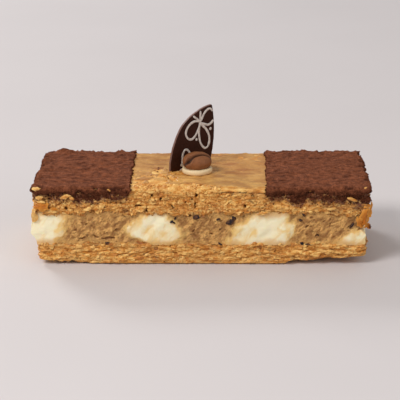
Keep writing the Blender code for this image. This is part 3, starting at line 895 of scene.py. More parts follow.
def flaky_sheet(name, box, turned_over, flaky, settings, finish):
    """A sheet of flaky pastry: one folded grid over its outer side and edges, closed on its cream side."""
    half_x, half_y, low, high = box
    height = high - low
    x_lines = side_spacing(unfolded_reach(half_x, height), height, FINE, FINE)
    y_lines = side_spacing(unfolded_reach(half_y, height), height, FINE, COARSE)
    x, y, rows, columns = flat_grid(x_lines, y_lines)
    places, outward, down = fold_over(x, y, half_x, half_y)
    if turned_over:
        places[:, 0] += BASE_SHIFT
        lift = base_lift(places[:, 0]) + edge_lobes(places, half_x, half_y)
        places[:, 2] = low - places[:, 2] + lift * np.clip(1.0 - down / height, 0.0, 1.0)
        outward[:, 2] *= -1.0
    else:
        places[:, 2] += high
    out, tone, crevice = flaky_relief(places, down, settings, flaky)
    if turned_over:
        out = np.where(down < 0.3 * MM, np.minimum(out, 0.0), out)
    foot = smooth_step(down, height - 0.6 * MM, height)
    out -= 0.4 * MM * foot
    points = places + outward * out[:, None]
    ragged = flaky.ragged * layered_noise(places * (1.0, 1.0, 0.0), 2.6 * MM, flaky.seed + 50)
    ragged += 1.2 * flaky.ragged * noise(places * (1.0, 1.0, 0.0), 6.5 * MM, flaky.seed + 51) - flaky.sag
    ragged = np.maximum(ragged, -0.12 * MM) if turned_over else np.minimum(ragged, 0.12 * MM)
    points[:, 2] += ragged * smooth_step(down, height - 3.0 * MM, height)
    if turned_over:
        points[:, 2] = np.maximum(points[:, 2], 0.0)
    border = border_of_grid(rows, columns)
    ring = points[border].copy()
    ring[:, :2] *= ((half_x - 3.0 * MM) / half_x, (half_y - 3.0 * MM) / half_y)
    first = len(points)
    count = len(border)
    here = np.arange(count)
    after = np.roll(here, -1)
    faces = grid_faces(rows, columns).tolist()
    faces += np.stack([border[after], border[here], first + here, first + after], axis=-1).tolist()
    faces.append((first + here)[::-1].tolist())
    if turned_over:
        faces = [face[::-1] for face in faces]
    points = np.concatenate([points, ring]) + np.array(MIDDLE)
    on_side = smooth_step(down, 0.8 * MM, 1.8 * MM) * (1.0 + 0.8 * smooth_step(down, height - 1.6 * MM, height))
    if not turned_over:
        on_side = np.maximum(on_side, broken_rim(places))
    marks = {
        "tone": np.concatenate([tone, np.full(count, 0.4)]),
        # crevice: painted shade in cracks and hollows, and along the cream side where the sheet meets the filling
        "crevice": np.concatenate([np.clip(crevice + 0.5 * foot, 0.0, 1.0), np.full(count, 0.5)]),
        "strew": np.concatenate([on_side, np.zeros(count)]),
        "dust": np.concatenate([np.zeros(len(down)) if turned_over else cocoa_dust(places, down), np.zeros(count)]),
    }
    return make_mesh(name, points, faces, finish, marks)


def broken_rim(places):
    """Where flakes lie on top along the broken front rim, between the cocoa ends."""
    along = smooth_step(places[:, 0], COCOA_LEFT_EDGE, COCOA_LEFT_EDGE + 2.0 * MM)
    along *= 1.0 - smooth_step(places[:, 0], 4.0 * MM, 9.0 * MM)
    return 0.8 * along * smooth_step(-places[:, 1], TOP_SHEET[1] - 6.5 * MM, TOP_SHEET[1] - 3.5 * MM)


def edge_lobes(places, half_x, half_y):
    """How far the bottom sheet's lower edge curls up between its drooping lobes."""
    from_edge = np.minimum(half_x - np.abs(places[:, 0]), half_y - np.abs(places[:, 1]))
    lobes = 1.5 * MM * noise(places * (1.0, 1.0, 0.0), 8.5 * MM, 900)
    lobes += 0.8 * MM * layered_noise(places * (1.0, 1.0, 0.0), 2.8 * MM, 905)
    return np.maximum(lobes, 0.0) * (1.0 - smooth_step(from_edge, 0.5 * MM, 3.5 * MM))


def cocoa_dust(places, down):
    """How much cocoa dust has settled on the top sheet's sides, below the cocoa's own edge."""
    beyond = np.maximum(COCOA_LEFT_EDGE - places[:, 0], places[:, 0] - COCOA_RIGHT_EDGE)
    reach = cocoa_reach(places)
    fade = reach + 2.4 * MM + 1.6 * MM * smooth_step(places[:, 0], 30.0 * MM, 45.0 * MM)
    on_side = smooth_step(down, 0.4 * MM, 1.2 * MM)
    return on_side * smooth_step(beyond, -1.0 * MM, 1.5 * MM) * (1.0 - smooth_step(down, reach - 0.6 * MM, fade))


def cocoa_reach(places):
    """How far down the sides the cocoa runs."""
    flat = places * (1.0, 1.0, 0.25)
    reach = 3.4 * MM + 0.9 * MM * smooth_step(places[:, 0], 30.0 * MM, 50.0 * MM)
    reach += 1.2 * MM * noise(flat, 8.0 * MM, 540) + 1.5 * MM * layered_noise(flat, 1.9 * MM, 545)
    return np.clip(reach, 1.0 * MM, 5.8 * MM)


def base_lift(x):
    """How far the underside of the bottom sheet lifts towards both ends."""
    half_x = BASE_SHEET[0]
    left = 1.3 * MM * smooth_step(-x, half_x - 16.0 * MM, half_x)
    right = 2.8 * MM * smooth_step(x, half_x - 26.0 * MM, half_x)
    return left + right


# ---------------------------------------------------------------------------------------------------------
# Coats on top of the slice


def coat(name, low_x, high_x, side_reach, cover, thickness, powder, settings, finish, shaded=None, crumbly=None):
    """A thin closed coat over part of the top sheet. cover gives, for each point, 1 where the coat lies and
    0 where it has run out; there the coat dips into the pastry, which leaves a natural edge. shaded darkens
    the coat, and crumbly says where loose bits lie on it; without it they lie along its edges."""
    half_x, half_y, _, high = TOP_SHEET
    reach_y = unfolded_reach(half_y, side_reach)
    x, y, rows, columns = flat_grid(even_lines(low_x, high_x, 0.28 * MM), even_lines(-reach_y, reach_y, 0.28 * MM))
    places, outward, down = fold_over(x, y, half_x, half_y)
    places[:, 2] += high
    under, _, crevice = flaky_relief(places, down, settings.pastry, TOP_FLAKES)
    cover_share = cover(x, y, places, down)
    out = np.maximum(under, -0.35 * MM) + (thickness + powder(places, down)) * cover_share
    out -= 1.1 * MM * (1.0 - smooth_step(cover_share, 0.0, 0.5))
    outer = places + outward * out[:, None]
    inner = places - outward * (2.0 * MM)
    points = np.concatenate([outer, inner]) + np.array(MIDDLE)
    sheet = grid_faces(rows, columns)
    count = rows * columns
    border = border_of_grid(rows, columns)
    after = np.roll(border, -1)
    rim = np.stack([after, border, border + count, after + count], axis=-1)
    faces = np.concatenate([sheet, sheet[:, ::-1] + count, rim])
    ending = cover_share * (1.0 - smooth_step(cover_share, 0.75, 1.0))
    # shade: darker where the coat runs out, painted shade over the cracks beneath, and what shaded adds
    shade = np.clip(0.8 * (1.0 - smooth_step(cover_share, 0.3, 1.0)) + 0.4 * crevice, 0.0, 1.0)
    on_side = smooth_step(down, 0.15 * MM, 0.8 * MM)
    lip = np.clip(0.9 * on_side + 0.8 * ending, 0.0, 1.0) * smooth_step(cover_share, 0.2, 0.6)
    if shaded:
        shade = np.clip(shade + shaded(places, down), 0.0, 1.0)
    if crumbly:
        lip = crumbly(places)
    nothing = np.zeros(count)
    marks = {
        "crevice": np.concatenate([shade, shade]),
        "side": np.concatenate([on_side, nothing]),
        "strew": np.concatenate([lip, nothing]),
    }
    return make_mesh(name, points, faces, finish, marks)


class SliceOperator:
    """What all the piece builders share."""

    bl_options = {"REGISTER", "UNDO"}

    def settings(self, context):
        return context.scene.mille_feuille


class MILLEFEUILLE_OT_base_sheet(SliceOperator, Operator):
    """Builds the bottom sheet of flaky pastry"""

    bl_idname = "mille_feuille.base_sheet"
    bl_label = "Bottom sheet"

    def execute(self, context):
        settings = self.settings(context)
        finish = finish_named("Puff pastry", pastry_finish, settings.pastry)
        sheet = flaky_sheet("base_sheet", BASE_SHEET, True, BASE_FLAKES, settings.pastry, finish)
        into_slice(sheet, stands_for=("base_pastry",))
        return {"FINISHED"}


class MILLEFEUILLE_OT_top_sheet(SliceOperator, Operator):
    """Builds the top sheet of flaky pastry"""

    bl_idname = "mille_feuille.top_sheet"
    bl_label = "Top sheet"

    def execute(self, context):
        settings = self.settings(context)
        finish = finish_named("Puff pastry", pastry_finish, settings.pastry)
        sheet = flaky_sheet("top_sheet", TOP_SHEET, False, TOP_FLAKES, settings.pastry, finish)
        into_slice(sheet, stands_for=("top_pastry",))
        return {"FINISHED"}


def finish_named(name, maker, settings):
    """The finish made before under that name, or a new one."""
    return bpy.data.materials.get(name) or maker(settings)


def cocoa_powder(places, down):
    """Lumps and grains of the cocoa powder: soft ridges on top, a coarse crust over the rim, and the risen
    lump at the back of the left end."""
    over = near_rim(places)
    soft = 0.30 * MM * layered_noise(places, (2.0 * MM, 1.1 * MM, 1.1 * MM), 500, octaves=2)
    soft += 0.14 * MM * noise(places, 0.8 * MM, 505) + 0.12 * MM * noise(places, 5.0 * MM, 520)
    coarse = 0.34 * MM * layered_noise(places, 1.5 * MM, 510, octaves=3)
    _, value, _, _, distance = shards(places, 1.15 * MM, 515)
    grains = 0.40 * MM * (1.0 - smooth_step(distance, 0.15, 0.65)) * (0.3 + value)
    thinner = 0.7 * MM * smooth_step(down, 0.8 * MM, 2.4 * MM)
    lump_x = (places[:, 0] + 51.0 * MM) / (3.2 * MM)
    lump_y = (places[:, 1] - 20.4 * MM) / (1.9 * MM)
    risen = 1.3 * MM * np.exp(-(lump_x**4) - lump_y**2) * (1.0 + 0.35 * noise(places, 1.2 * MM, 530))
    return (1.0 - over) * (soft + risen) + over * (coarse + grains - cocoa_pockets(places) * 0.8 * MM - thinner)


def near_rim(places):
    """1 over the rim of the top, 0 from a little way in."""
    from_edge = np.minimum(TOP_SHEET[0] - np.abs(places[:, 0]), TOP_SHEET[1] - np.abs(places[:, 1]))
    return 1.0 - smooth_step(from_edge + 0.5 * MM * noise(places, 1.4 * MM, 527), 0.4 * MM, 1.9 * MM)


def cocoa_pockets(places):
    """Where the cocoa over the rim is hollow."""
    return smooth_step(layered_noise(places, (2.4 * MM, 2.4 * MM, 1.2 * MM), 525), 0.15, 0.55)


def cocoa_shade(places, down):
    """The cocoa's darker places: soft ridged mottling on top, and painted shade over the rim, deepest in its pockets.
    """
    over = near_rim(places)
    ridged = 0.58 * smooth_step(layered_noise(places, (2.0 * MM, 1.0 * MM, 1.0 * MM), 533), -0.1, 0.8)
    # over the rim: painted shade, deepest in the pockets; on top: the cocoa's own ridged mottling
    return (1.0 - over) * ridged + over * (0.12 + 0.75 * cocoa_pockets(places))


def cocoa_cover(edge, side):
    """Where one end's cocoa lies: beyond its ragged edge on the top, and in uneven runs down the sides."""

    def cover(x, y, places, down):
        ragged = 0.55 * MM * layered_noise(places, 1.5 * MM, 532)
        lean = 0.012 * places[:, 1]
        on_top = smooth_step(side * (x - edge) + ragged - lean, 0.0, 0.45 * MM)
        reach = cocoa_reach(places)
        torn = smooth_step(layered_noise(places, 2.0 * MM, 535), 0.34, 0.50) * smooth_step(down, 0.6 * MM, 1.8 * MM)
        return on_top * (1.0 - smooth_step(down, reach - 0.4 * MM, reach + 0.4 * MM)) * (1.0 - torn)

    return cover


class MILLEFEUILLE_OT_cocoa(SliceOperator, Operator):
    """Dusts both ends of the top with cocoa powder"""

    bl_idname = "mille_feuille.cocoa"
    bl_label = "Cocoa ends"

    def execute(self, context):
        settings = self.settings(context)
        finish = finish_named("Cocoa powder", cocoa_finish, settings.topping)
        reach = unfolded_reach(TOP_SHEET[0], 6.4 * MM)
        ends = (
            ("cocoa_left", -reach, COCOA_LEFT_EDGE + 1.5 * MM, COCOA_LEFT_EDGE, -1.0),
            ("cocoa_right", COCOA_RIGHT_EDGE - 1.5 * MM, reach, COCOA_RIGHT_EDGE, 1.0),
        )
        for name, low_x, high_x, edge, side in ends:
            piece = coat(
                name,
                low_x,
                high_x,
                6.4 * MM,
                cocoa_cover(edge, side),
                settings.topping.cocoa_coat,
                cocoa_powder,
                settings,
                finish,
                shaded=cocoa_shade,
            )
            into_slice(piece)
        return {"FINISHED"}


def glaze_ripples(places, down):
    """The glaze's gentle unevenness."""
    ripples = 0.12 * MM * layered_noise(places, (2.8 * MM, 1.3 * MM, 1.3 * MM), 630)
    return 0.16 * MM * noise(places, 7.0 * MM, 620) + ripples


def glaze_shade(places, down):
    """Where the glaze is darker: painted shade towards the back and in a broad patch right of the disc, and soft
    streaks of the glaze itself.
    """
    # painted shade: a broad patch right of the disc, and a fall-off towards the back
    broad = np.exp(-(((places[:, 0] - 13.0 * MM) / (9.0 * MM)) ** 2) - ((places[:, 1] - 1.0 * MM) / (11.0 * MM)) ** 2)
    streaks = smooth_step(layered_noise(places, (5.0 * MM, 1.7 * MM, 1.7 * MM), 635), 0.1, 0.7)
    back = smooth_step(places[:, 1], -14.0 * MM, 10.0 * MM)
    return 0.35 * broad + 0.5 * streaks + 0.36 * back


def by_the_leaf(places):
    """Where pastry crumbs lie on the glaze: in front and to the left of the leaf's foot."""
    x = (places[:, 0] + 12.5 * MM) / (4.6 * MM)
    y = (places[:, 1] + 3.0 * MM) / (7.0 * MM)
    return np.exp(-((x**2 + y**2) ** 2)) * smooth_step(noise(places, 2.2 * MM, 638), -0.2, 0.3)


def glaze_cover(x, y, places, down):
    """Where the glaze lies: between the cocoa ends, up to a broken front edge, thin at the left front."""
    ragged = 0.55 * MM * layered_noise(places, 2.0 * MM, 640)
    within = smooth_step(x - COCOA_LEFT_EDGE + 1.0 * MM, 0.0, 0.4 * MM)
    within *= smooth_step(COCOA_RIGHT_EDGE + 1.0 * MM - x, 0.0, 0.4 * MM)
    front = TOP_SHEET[1] - 1.3 * MM + ragged
    broken = 3.8 * MM * smooth_step(-x, -4.0 * MM, 2.0 * MM) + 1.3 * MM
    front_left = front - broken - 1.2 * MM * noise(places, 5.0 * MM, 650)
    within *= 1.0 - smooth_step(-y, front_left - 0.1 * MM, front_left + 0.35 * MM)
    within *= 1.0 - smooth_step(y, front - 0.1 * MM, front + 0.35 * MM)
    left_side = smooth_step(-x, -2.0 * MM, 12.0 * MM) * smooth_step(-y, -8.0 * MM, 4.0 * MM)
    bare = smooth_step(layered_noise(places, 3.2 * MM, 660), 0.15, 0.35) * left_side
    return within * (1.0 - bare)


class MILLEFEUILLE_OT_glaze(SliceOperator, Operator):
    """Spreads the coffee glaze over the middle of the top"""

    bl_idname = "mille_feuille.glaze"
    bl_label = "Coffee glaze"

    def execute(self, context):
        settings = self.settings(context)
        finish = finish_named("Coffee glaze", glaze_finish, settings.topping)
        piece = coat(
            "coffee_glaze",
            COCOA_LEFT_EDGE - 1.5 * MM,
            COCOA_RIGHT_EDGE + 1.5 * MM,
            0.8 * MM,
            glaze_cover,
            settings.topping.glaze_coat,
            glaze_ripples,
            settings,
            finish,
            shaded=glaze_shade,
            crumbly=by_the_leaf,
        )
        into_slice(piece)
        return {"FINISHED"}


# ---------------------------------------------------------------------------------------------------------
# Creams


def smooth_curve(values, count):
    """More points on a smooth curve through evenly spaced values."""
    values = np.asarray(values, dtype=float)
    padded = np.concatenate([[2 * values[0] - values[1]], values, [2 * values[-1] - values[-2]]])
    share = np.linspace(0.0, len(values) - 1.0, count)
    cell = np.minimum(share.astype(int), len(values) - 2)
    t = share - cell
    a, b, c, d = (padded[cell + k] for k in range(4))
    return 0.5 * (2 * b + (c - a) * t + (2 * a - 5 * b + 4 * c - d) * t**2 + (3 * b - a - 3 * c + d) * t**3)


def even_loop(loop, count):
    """A closed loop with its points moved to even distances."""
    closed = np.concatenate([loop, loop[:1]])
    steps = np.linalg.norm(np.diff(closed, axis=0), axis=1)
    along = np.concatenate([[0.0], np.cumsum(steps)])
    wanted = np.linspace(0.0, along[-1], count, endpoint=False)
    return np.stack([np.interp(wanted, along, closed[:, axis]) for axis in range(2)], axis=-1)


def bar_section(left, right, low, high, shift, count=132):
    """The outline of a bar of cream, clockwise seen from the front, in even steps."""
    heights = np.linspace(low, high, 24)
    rising = np.stack([smooth_curve(left, 24) * MM + shift[0], heights], axis=-1)
    falling = np.stack([smooth_curve(right, 24) * MM + shift[1], heights], axis=-1)[::-1]
    return even_loop(np.concatenate([rising, falling]), count)


def seam_at(heights, seam, low, high):
    """Where a seam stands along the slice, in metres, at the given heights."""
    levels = np.linspace(low, high, 49)
    return np.interp(heights, levels, smooth_curve(seam, 49) * MM)


def seam_sway(y):
    """How far the seams wander along the slice on their way from the front to the back."""
    return 0.8 * MM * np.sin(2.4 * math.pi * y / (2.0 * TOP_SHEET[1]))


def into_vanilla(points):
    """How far inside the vanilla cream each point lies, in metres, below 0 in the coffee cream."""
    x, y, z = points.T
    x = x - seam_sway(y)
    inside = np.full(len(points), -1.0)
    for left, right, high in VANILLA_BARS:
        left_x = seam_at(z, left, CREAM_LOW, high) if left is not LEFT_END else -1.0
        right_x = seam_at(z, right, CREAM_LOW, high) if right is not WEDGE_RIGHT else 1.0
        reach = 0.8 * np.minimum(x - left_x, right_x - x)
        if high < CREAM_HIGH:
            reach = np.minimum(reach, high - z)
        inside = np.maximum(inside, reach)
    return inside


def along_smears(points):
    """Points measured along and across the slant that the knife has left in the creams."""
    x, y, z = bent_points(points, 0.9 * MM, 6.0 * MM, 705).T
    slant = SMEAR_SLANT
    return np.column_stack([x * np.cos(slant) + z * np.sin(slant), y, z * np.cos(slant) - x * np.sin(slant)])


def cream_smear(points):
    """Smears, lumps and pits of the cut creams: the way outwards, and how deep in a pit or hollow each point lies,
    which is painted as shade.
    """
    inside = into_vanilla(points)
    vanilla = smooth_step(inside + 0.5 * MM * noise(points, 2.0 * MM, 700), -1.5 * MM, 1.7 * MM)
    slanted = along_smears(points)
    smears = 0.24 * MM * noise(slanted, (4.6 * MM, 4.0 * MM, 2.2 * MM), 710)
    smears += 0.07 * MM * layered_noise(slanted, (2.2 * MM, 2.0 * MM, 1.4 * MM), 720, octaves=2)
    _, value, other, _, distance = shards(slanted, (1.3 * MM, 1.2 * MM, 0.9 * MM), 750)
    pit = (value < 0.5) * (1.0 - smooth_step(distance, 0.10, 0.26 + 0.16 * other))
    _, value_big, other_big, _, distance_big = shards(points, (4.0 * MM, 4.0 * MM, 3.0 * MM), 760)
    hollow = (value_big < 0.35) * (1.0 - smooth_step(distance_big, 0.06, 0.2 + 0.15 * other_big))
    lumps = 0.25 * MM * noise(slanted, (3.0 * MM, 2.6 * MM, 1.8 * MM), 770)
    lumps += 0.22 * MM * layered_noise(slanted, (1.2 * MM, 1.1 * MM, 0.9 * MM), 780, octaves=2)
    hollow = np.maximum(hollow, hollows_at(points, CREAM_HOLLOWS))
    pitted = lumps - 0.34 * MM * pit - 0.5 * MM * hollow
    out = vanilla * (smears + 0.5 * MM) + (1.0 - vanilla) * pitted
    return out, np.clip((1.0 - vanilla) * (0.6 * pit + 0.9 * hollow), 0.0, 1.0)


def cream_bar(name, bar, wander, fine, under, finish):
    """A bar of cream from the front cut to the back cut. Neighbours share their seam and one cut face, and
    the coffee cream reaches a little way under the vanilla."""
    left, right, high = bar
    half_y = TOP_SHEET[1] - CREAM_RECESS
    face_rings = 34 if fine else 30
    count = 210
    shares = np.append(0.99 * np.linspace(0.0, 1.0, face_rings)[1:] ** 0.85, 1.0)
    body = np.linspace(-half_y, half_y, 90 if fine else 16)[1:-1]
    stations = [(-half_y, share) for share in shares] + [(y, 1.0) for y in body]
    stations += [(half_y, share) for share in shares[::-1]]
    rows = []
    for y, share in stations:
        sway = float(seam_sway(y))
        shift = (sway * wander[0] - under * wander[0], sway * wander[1] + under * wander[1])
        loop = bar_section(left, right, CREAM_LOW, high, shift, count)
        centre = loop.mean(axis=0)
        ring = centre + (loop - centre) * share
        rows.append(np.column_stack([ring[:, 0], np.full(count, y), ring[:, 1]]))
    points = np.concatenate(rows)
    first = len(points)
    points = np.concatenate([points, [rows[0].mean(axis=0), rows[-1].mean(axis=0)]])
    here = np.arange(count)
    after = np.roll(here, -1)
    last_row = first - count
    faces = grid_faces(len(rows), count, wrap=True).tolist()
    faces += np.stack([np.full(count, first), after, here], axis=-1).tolist()
    faces += np.stack([np.full(count, first + 1), last_row + here, last_row + after], axis=-1).tolist()
    inside = into_vanilla(points)
    out, pit = cream_smear(points)
    if under:
        out -= 0.5 * MM * smooth_step(inside, 0.05 * MM, 0.5 * MM)
    front = smooth_step(-points[:, 1], half_y - 1.2 * MM, half_y) - smooth_step(points[:, 1], half_y - 1.2 * MM, half_y)
    ends = points[:, 0] / TOP_SHEET[0]
    end_share = smooth_step(np.abs(ends), 0.80, 0.95) * np.sign(ends)
    ragged = np.stack([noise(points, 2.4 * MM, 790 + k) + 0.5 * noise(points, 1.0 * MM, 795 + k) for k in (0, 1)], -1)
    between = smooth_step(points[:, 2], CREAM_LOW, CREAM_LOW + 2.0 * MM)
    between *= 1.0 - smooth_step(points[:, 2], CREAM_HIGH - 2.0 * MM, CREAM_HIGH)
    points[:, 0] += 0.45 * MM * ragged[:, 0] * between + end_share * (out - np.where(ends < 0.0, 0.9, 0.5) * MM) * between
    points[:, 2] += 0.35 * MM * ragged[:, 1] * between
    points[:, 1] -= front * out
    blend = inside + 1.3 * MM * layered_noise(along_smears(points), (2.4 * MM, 2.0 * MM, 1.4 * MM), 800)
    near_sheet = np.minimum(points[:, 2] - CREAM_LOW, CREAM_HIGH - 0.4 * MM - points[:, 2])
    near_sheet += 0.35 * MM * noise(points, 1.5 * MM, 810) + 1.5 * MM * noise(points, 6.0 * MM, 812)
    marks = {
        "vanilla": smooth_step(blend, -1.7 * MM, 2.7 * MM),
        # crevice: painted shade in the pits and hollows
        "crevice": pit,
        "pastry_stain": 1.0 - smooth_step(near_sheet, 0.2 * MM, 2.6 * MM),
    }
    return make_mesh(name, points + np.array(MIDDLE), faces, finish, marks)


class MILLEFEUILLE_OT_vanilla(SliceOperator, Operator):
    """Builds the four bars of vanilla cream"""

    bl_idname = "mille_feuille.vanilla"
    bl_label = "Vanilla cream"

    def execute(self, context):
        finish = finish_named("Vanilla cream", vanilla_finish, self.settings(context).cream)
        wanders = ((0, 1), (1, 1), (1, 1), (0, 0))
        for number, (bar, wander) in enumerate(zip(VANILLA_BARS, wanders), start=1):
            at_end = number in (1, 4)
            piece = cream_bar(f"vanilla_bar_{number}", bar, wander, at_end, 0.0, finish)
            into_slice(piece, stands_for=(f"vanilla_cream_{number}",))
        return {"FINISHED"}


class MILLEFEUILLE_OT_coffee(SliceOperator, Operator):
    """Builds the three bars of coffee cream"""

    bl_idname = "mille_feuille.coffee"
    bl_label = "Coffee cream"

    def execute(self, context):
        finish = finish_named("Coffee cream", coffee_finish, self.settings(context).cream)
        wanders = ((1, 1), (1, 1), (1, 0))
        for number, (bar, wander) in enumerate(zip(COFFEE_BARS, wanders), start=1):
            piece = cream_bar(f"coffee_bar_{number}", bar, wander, number == 3, SEAM_OVERLAP, finish)
            into_slice(piece, stands_for=(f"coffee_cream_{number}",))
        return {"FINISHED"}


def lump(seed, rings=7, columns=10, roughness=0.35):
    """A small uneven lump about 1 across: points and faces."""
    polar = np.linspace(0.0, math.pi, rings + 2)[1:-1]
    around = np.linspace(0.0, math.tau, columns, endpoint=False)
    grid_polar, grid_around = np.meshgrid(polar, around, indexing="ij")
    ball = np.stack(
        [np.sin(grid_polar) * np.cos(grid_around), np.sin(grid_polar) * np.sin(grid_around), np.cos(grid_polar)], -1
    ).reshape(-1, 3)
    ball = np.concatenate([ball, [(0.0, 0.0, 1.0), (0.0, 0.0, -1.0)]])
    ball *= 0.5 * (1.0 + roughness * noise(ball + 10.0 * seed, 0.9, seed))[:, None]
    top = rings * columns
    faces = grid_faces(rings, columns, wrap=True)[:, ::-1].tolist()
    for i in range(columns):
        after = (i + 1) % columns
        faces.append([i, after, top])
        faces.append([top + 1, (rings - 1) * columns + after, (rings - 1) * columns + i])
    return ball, faces


def joined(shapes):
    """Several lists of points and faces as one."""
    points = []
    faces = []
    total = 0
    for shape_points, shape_faces in shapes:
        points.append(shape_points)
        faces += [[index + total for index in face] for face in shape_faces]
        total += len(shape_points)
    return np.concatenate(points), faces


def turned(points, place, angles, scale):
    """Points scaled, turned and put in place."""
    turn = np.array(Matrix.Rotation(angles[2], 3, "Z") @ Matrix.Rotation(angles[1], 3, "Y"))
    turn = turn @ np.array(Matrix.Rotation(angles[0], 3, "X"))
    return (points * np.asarray(scale)) @ turn.T + np.asarray(place)


# Dark specks in the front of the filling: x, z, width, height and lean, in mm and degrees
FRONT_SPECKS = (
    (-1.6, 17.3, 2.2, 1.3, 4.0),
    (6.0, 16.4, 1.5, 0.8, 5.0),
    (9.9, 15.2, 2.7, 1.5, 14.0),
    (11.3, 16.7, 1.4, 1.9, 10.0),
    (10.6, 15.9, 1.6, 1.3, 0.0),
    (-10.1, 15.7, 1.3, 0.7, 35.0),
    (-8.9, 16.7, 1.3, 0.5, 50.0),
    (-9.2, 15.3, 0.9, 0.5, -30.0),
    (35.4, 18.1, 1.3, 0.9, -50.0),
    (34.4, 16.2, 1.3, 0.7, -15.0),
    (51.9, 14.3, 2.3, 0.8, 62.0),
    (40.3, 10.7, 0.7, 0.5, 0.0),
    (6.7, 7.5, 1.5, 0.5, -25.0),
    (34.8, 7.7, 1.5, 1.0, -30.0),
    (36.9, 7.5, 2.4, 0.5, 3.0),
    (-19.8, 7.2, 1.5, 0.7, 25.0),
    (-32.4, 7.7, 1.7, 0.6, 8.0),
)


class MILLEFEUILLE_OT_specks(SliceOperator, Operator):
    """Presses the dark specks into the front and back of the filling"""

    bl_idname = "mille_feuille.specks"
    bl_label = "Dark specks"

    def execute(self, context):
        finish = finish_named("Dark speck", speck_finish, self.settings(context).cream)
        half_y = TOP_SHEET[1] - CREAM_RECESS
        shapes = []
        for number, (x, z, width, height, lean) in enumerate(FRONT_SPECKS):
            for side in (-1.0, 1.0):
                points, faces = lump(40 + number, roughness=0.5)
                place = np.array([[x * side * -1.0, side * half_y, z]]) * (MM, 1.0, MM)
                if side > 0.0 and into_vanilla(place)[0] > -0.5 * MM:
                    continue
                out, _ = cream_smear(place)
                place[0, 1] += side * (out[0] + 0.05 * MM)
                size = np.array([width, 1.3, height]) * MM
                shapes.append((turned(points, place[0], (0.0, math.radians(-lean), 0.0), size), faces))
        points, faces = joined(shapes)
        piece = make_mesh("dark_specks", points + np.array(MIDDLE), faces, finish)
        into_slice(piece)
        return {"FINISHED"}


# ---------------------------------------------------------------------------------------------------------
# Chocolate pieces


def leaf_outline(count=190):
    """The leaf in its own plane: a long curved edge up to the tip, and a fuller front edge back down."""
    rising = spline_through(LEAF_BACK_EDGE, False)
    tip = rising[-1]
    share = np.linspace(0.0, 1.0, 60)[1:, None]
    falling = tip * (1.0 - share) + np.array((LEAF_FRONT_FOOT, 0.0)) * share
    falling[:, :1] += 4.0 * LEAF_FRONT_BULGE * share * (1.0 - share)
    finish = [(LEAF_FRONT_FOOT - 1.0 * MM, rising[0][1])]
    return even_loop(np.concatenate([rising, falling, finish]), count)


def from_leaf_plane(points):
    """Points given along the leaf's foot, across its thickness and upwards, put in the slice."""
    turn = np.array(Matrix.Rotation(LEAF_TURN, 3, "Z"))
    return np.asarray(points) @ turn.T + np.array(LEAF_FOOT)


class MILLEFEUILLE_OT_leaf(SliceOperator, Operator):
    """Builds the upright leaf of dark chocolate"""

    bl_idname = "mille_feuille.leaf"
    bl_label = "Chocolate leaf"

    def execute(self, context):
        settings = self.settings(context).topping
        finish = finish_named("Dark chocolate", dark_chocolate_finish, settings)
        outline = leaf_outline()
        middle = np.array((11.0, 7.0)) * MM
        half = 0.5 * LEAF_PLATE
        bevel = 0.22 * MM
        rows = []
        edge = []
        face_shares = np.linspace(0.0, 1.0, 16)[1:-1]
        corner = np.linspace(0.0, 0.5 * math.pi, 5)
        steps = [(-half, share, 0.0) for share in face_shares]
        steps += [(-half + bevel * (1.0 - math.cos(a)), None, bevel * (1.0 - math.sin(a))) for a in corner]
        steps += [(y, None, 0.0) for y in np.linspace(-half + bevel, half - bevel, 5)[1:-1]]
        steps += [(half - bevel * (1.0 - math.cos(a)), None, bevel * (1.0 - math.sin(a))) for a in corner[::-1]]
        steps += [(half, share, 0.0) for share in face_shares[::-1]]
        for y, share, inset in steps:
            away = outline - middle
            reach = np.linalg.norm(away, axis=1, keepdims=True)
            ring = middle + away * (share if share is not None else 1.0 - inset / reach)
            rows.append(np.column_stack([ring[:, 0], np.full(len(ring), y), ring[:, 1]]))
            # the rim rows carry the edge mark, where a painted sheen goes
            edge.append(np.full(len(ring), 1.0 if abs(y) < half - 0.3 * bevel else 0.0))
        count = len(outline)
        points = np.concatenate(rows)
        first = len(points)
        points = np.concatenate([points, [(middle[0], -half, middle[1]), (middle[0], half, middle[1])]])
        faces = grid_faces(len(rows), count, wrap=True).tolist()
        for i in range(count):
            after = (i + 1) % count
            faces.append([first, after, i])
            faces.append([first + 1, first - count + i, first - count + after])
        chipped = np.concatenate(edge + [np.zeros(2)])
        away = points[:, [0, 2]] - middle
        away /= np.maximum(np.linalg.norm(away, axis=1, keepdims=True), 1e-6)
        chips = 0.10 * MM * layered_noise(points, 1.6 * MM, 830) * chipped
        points[:, 0] += chips * away[:, 0]
        points[:, 2] += chips * away[:, 1]
        points[:, 1] += 0.04 * MM * noise(points, 5.0 * MM, 840) * (1.0 - chipped) + half
        piece = make_mesh("dark_leaf", from_leaf_plane(points), faces, finish, {"edge": chipped})
        into_slice(piece, stands_for=("chocolate_leaf",))
        return {"FINISHED"}


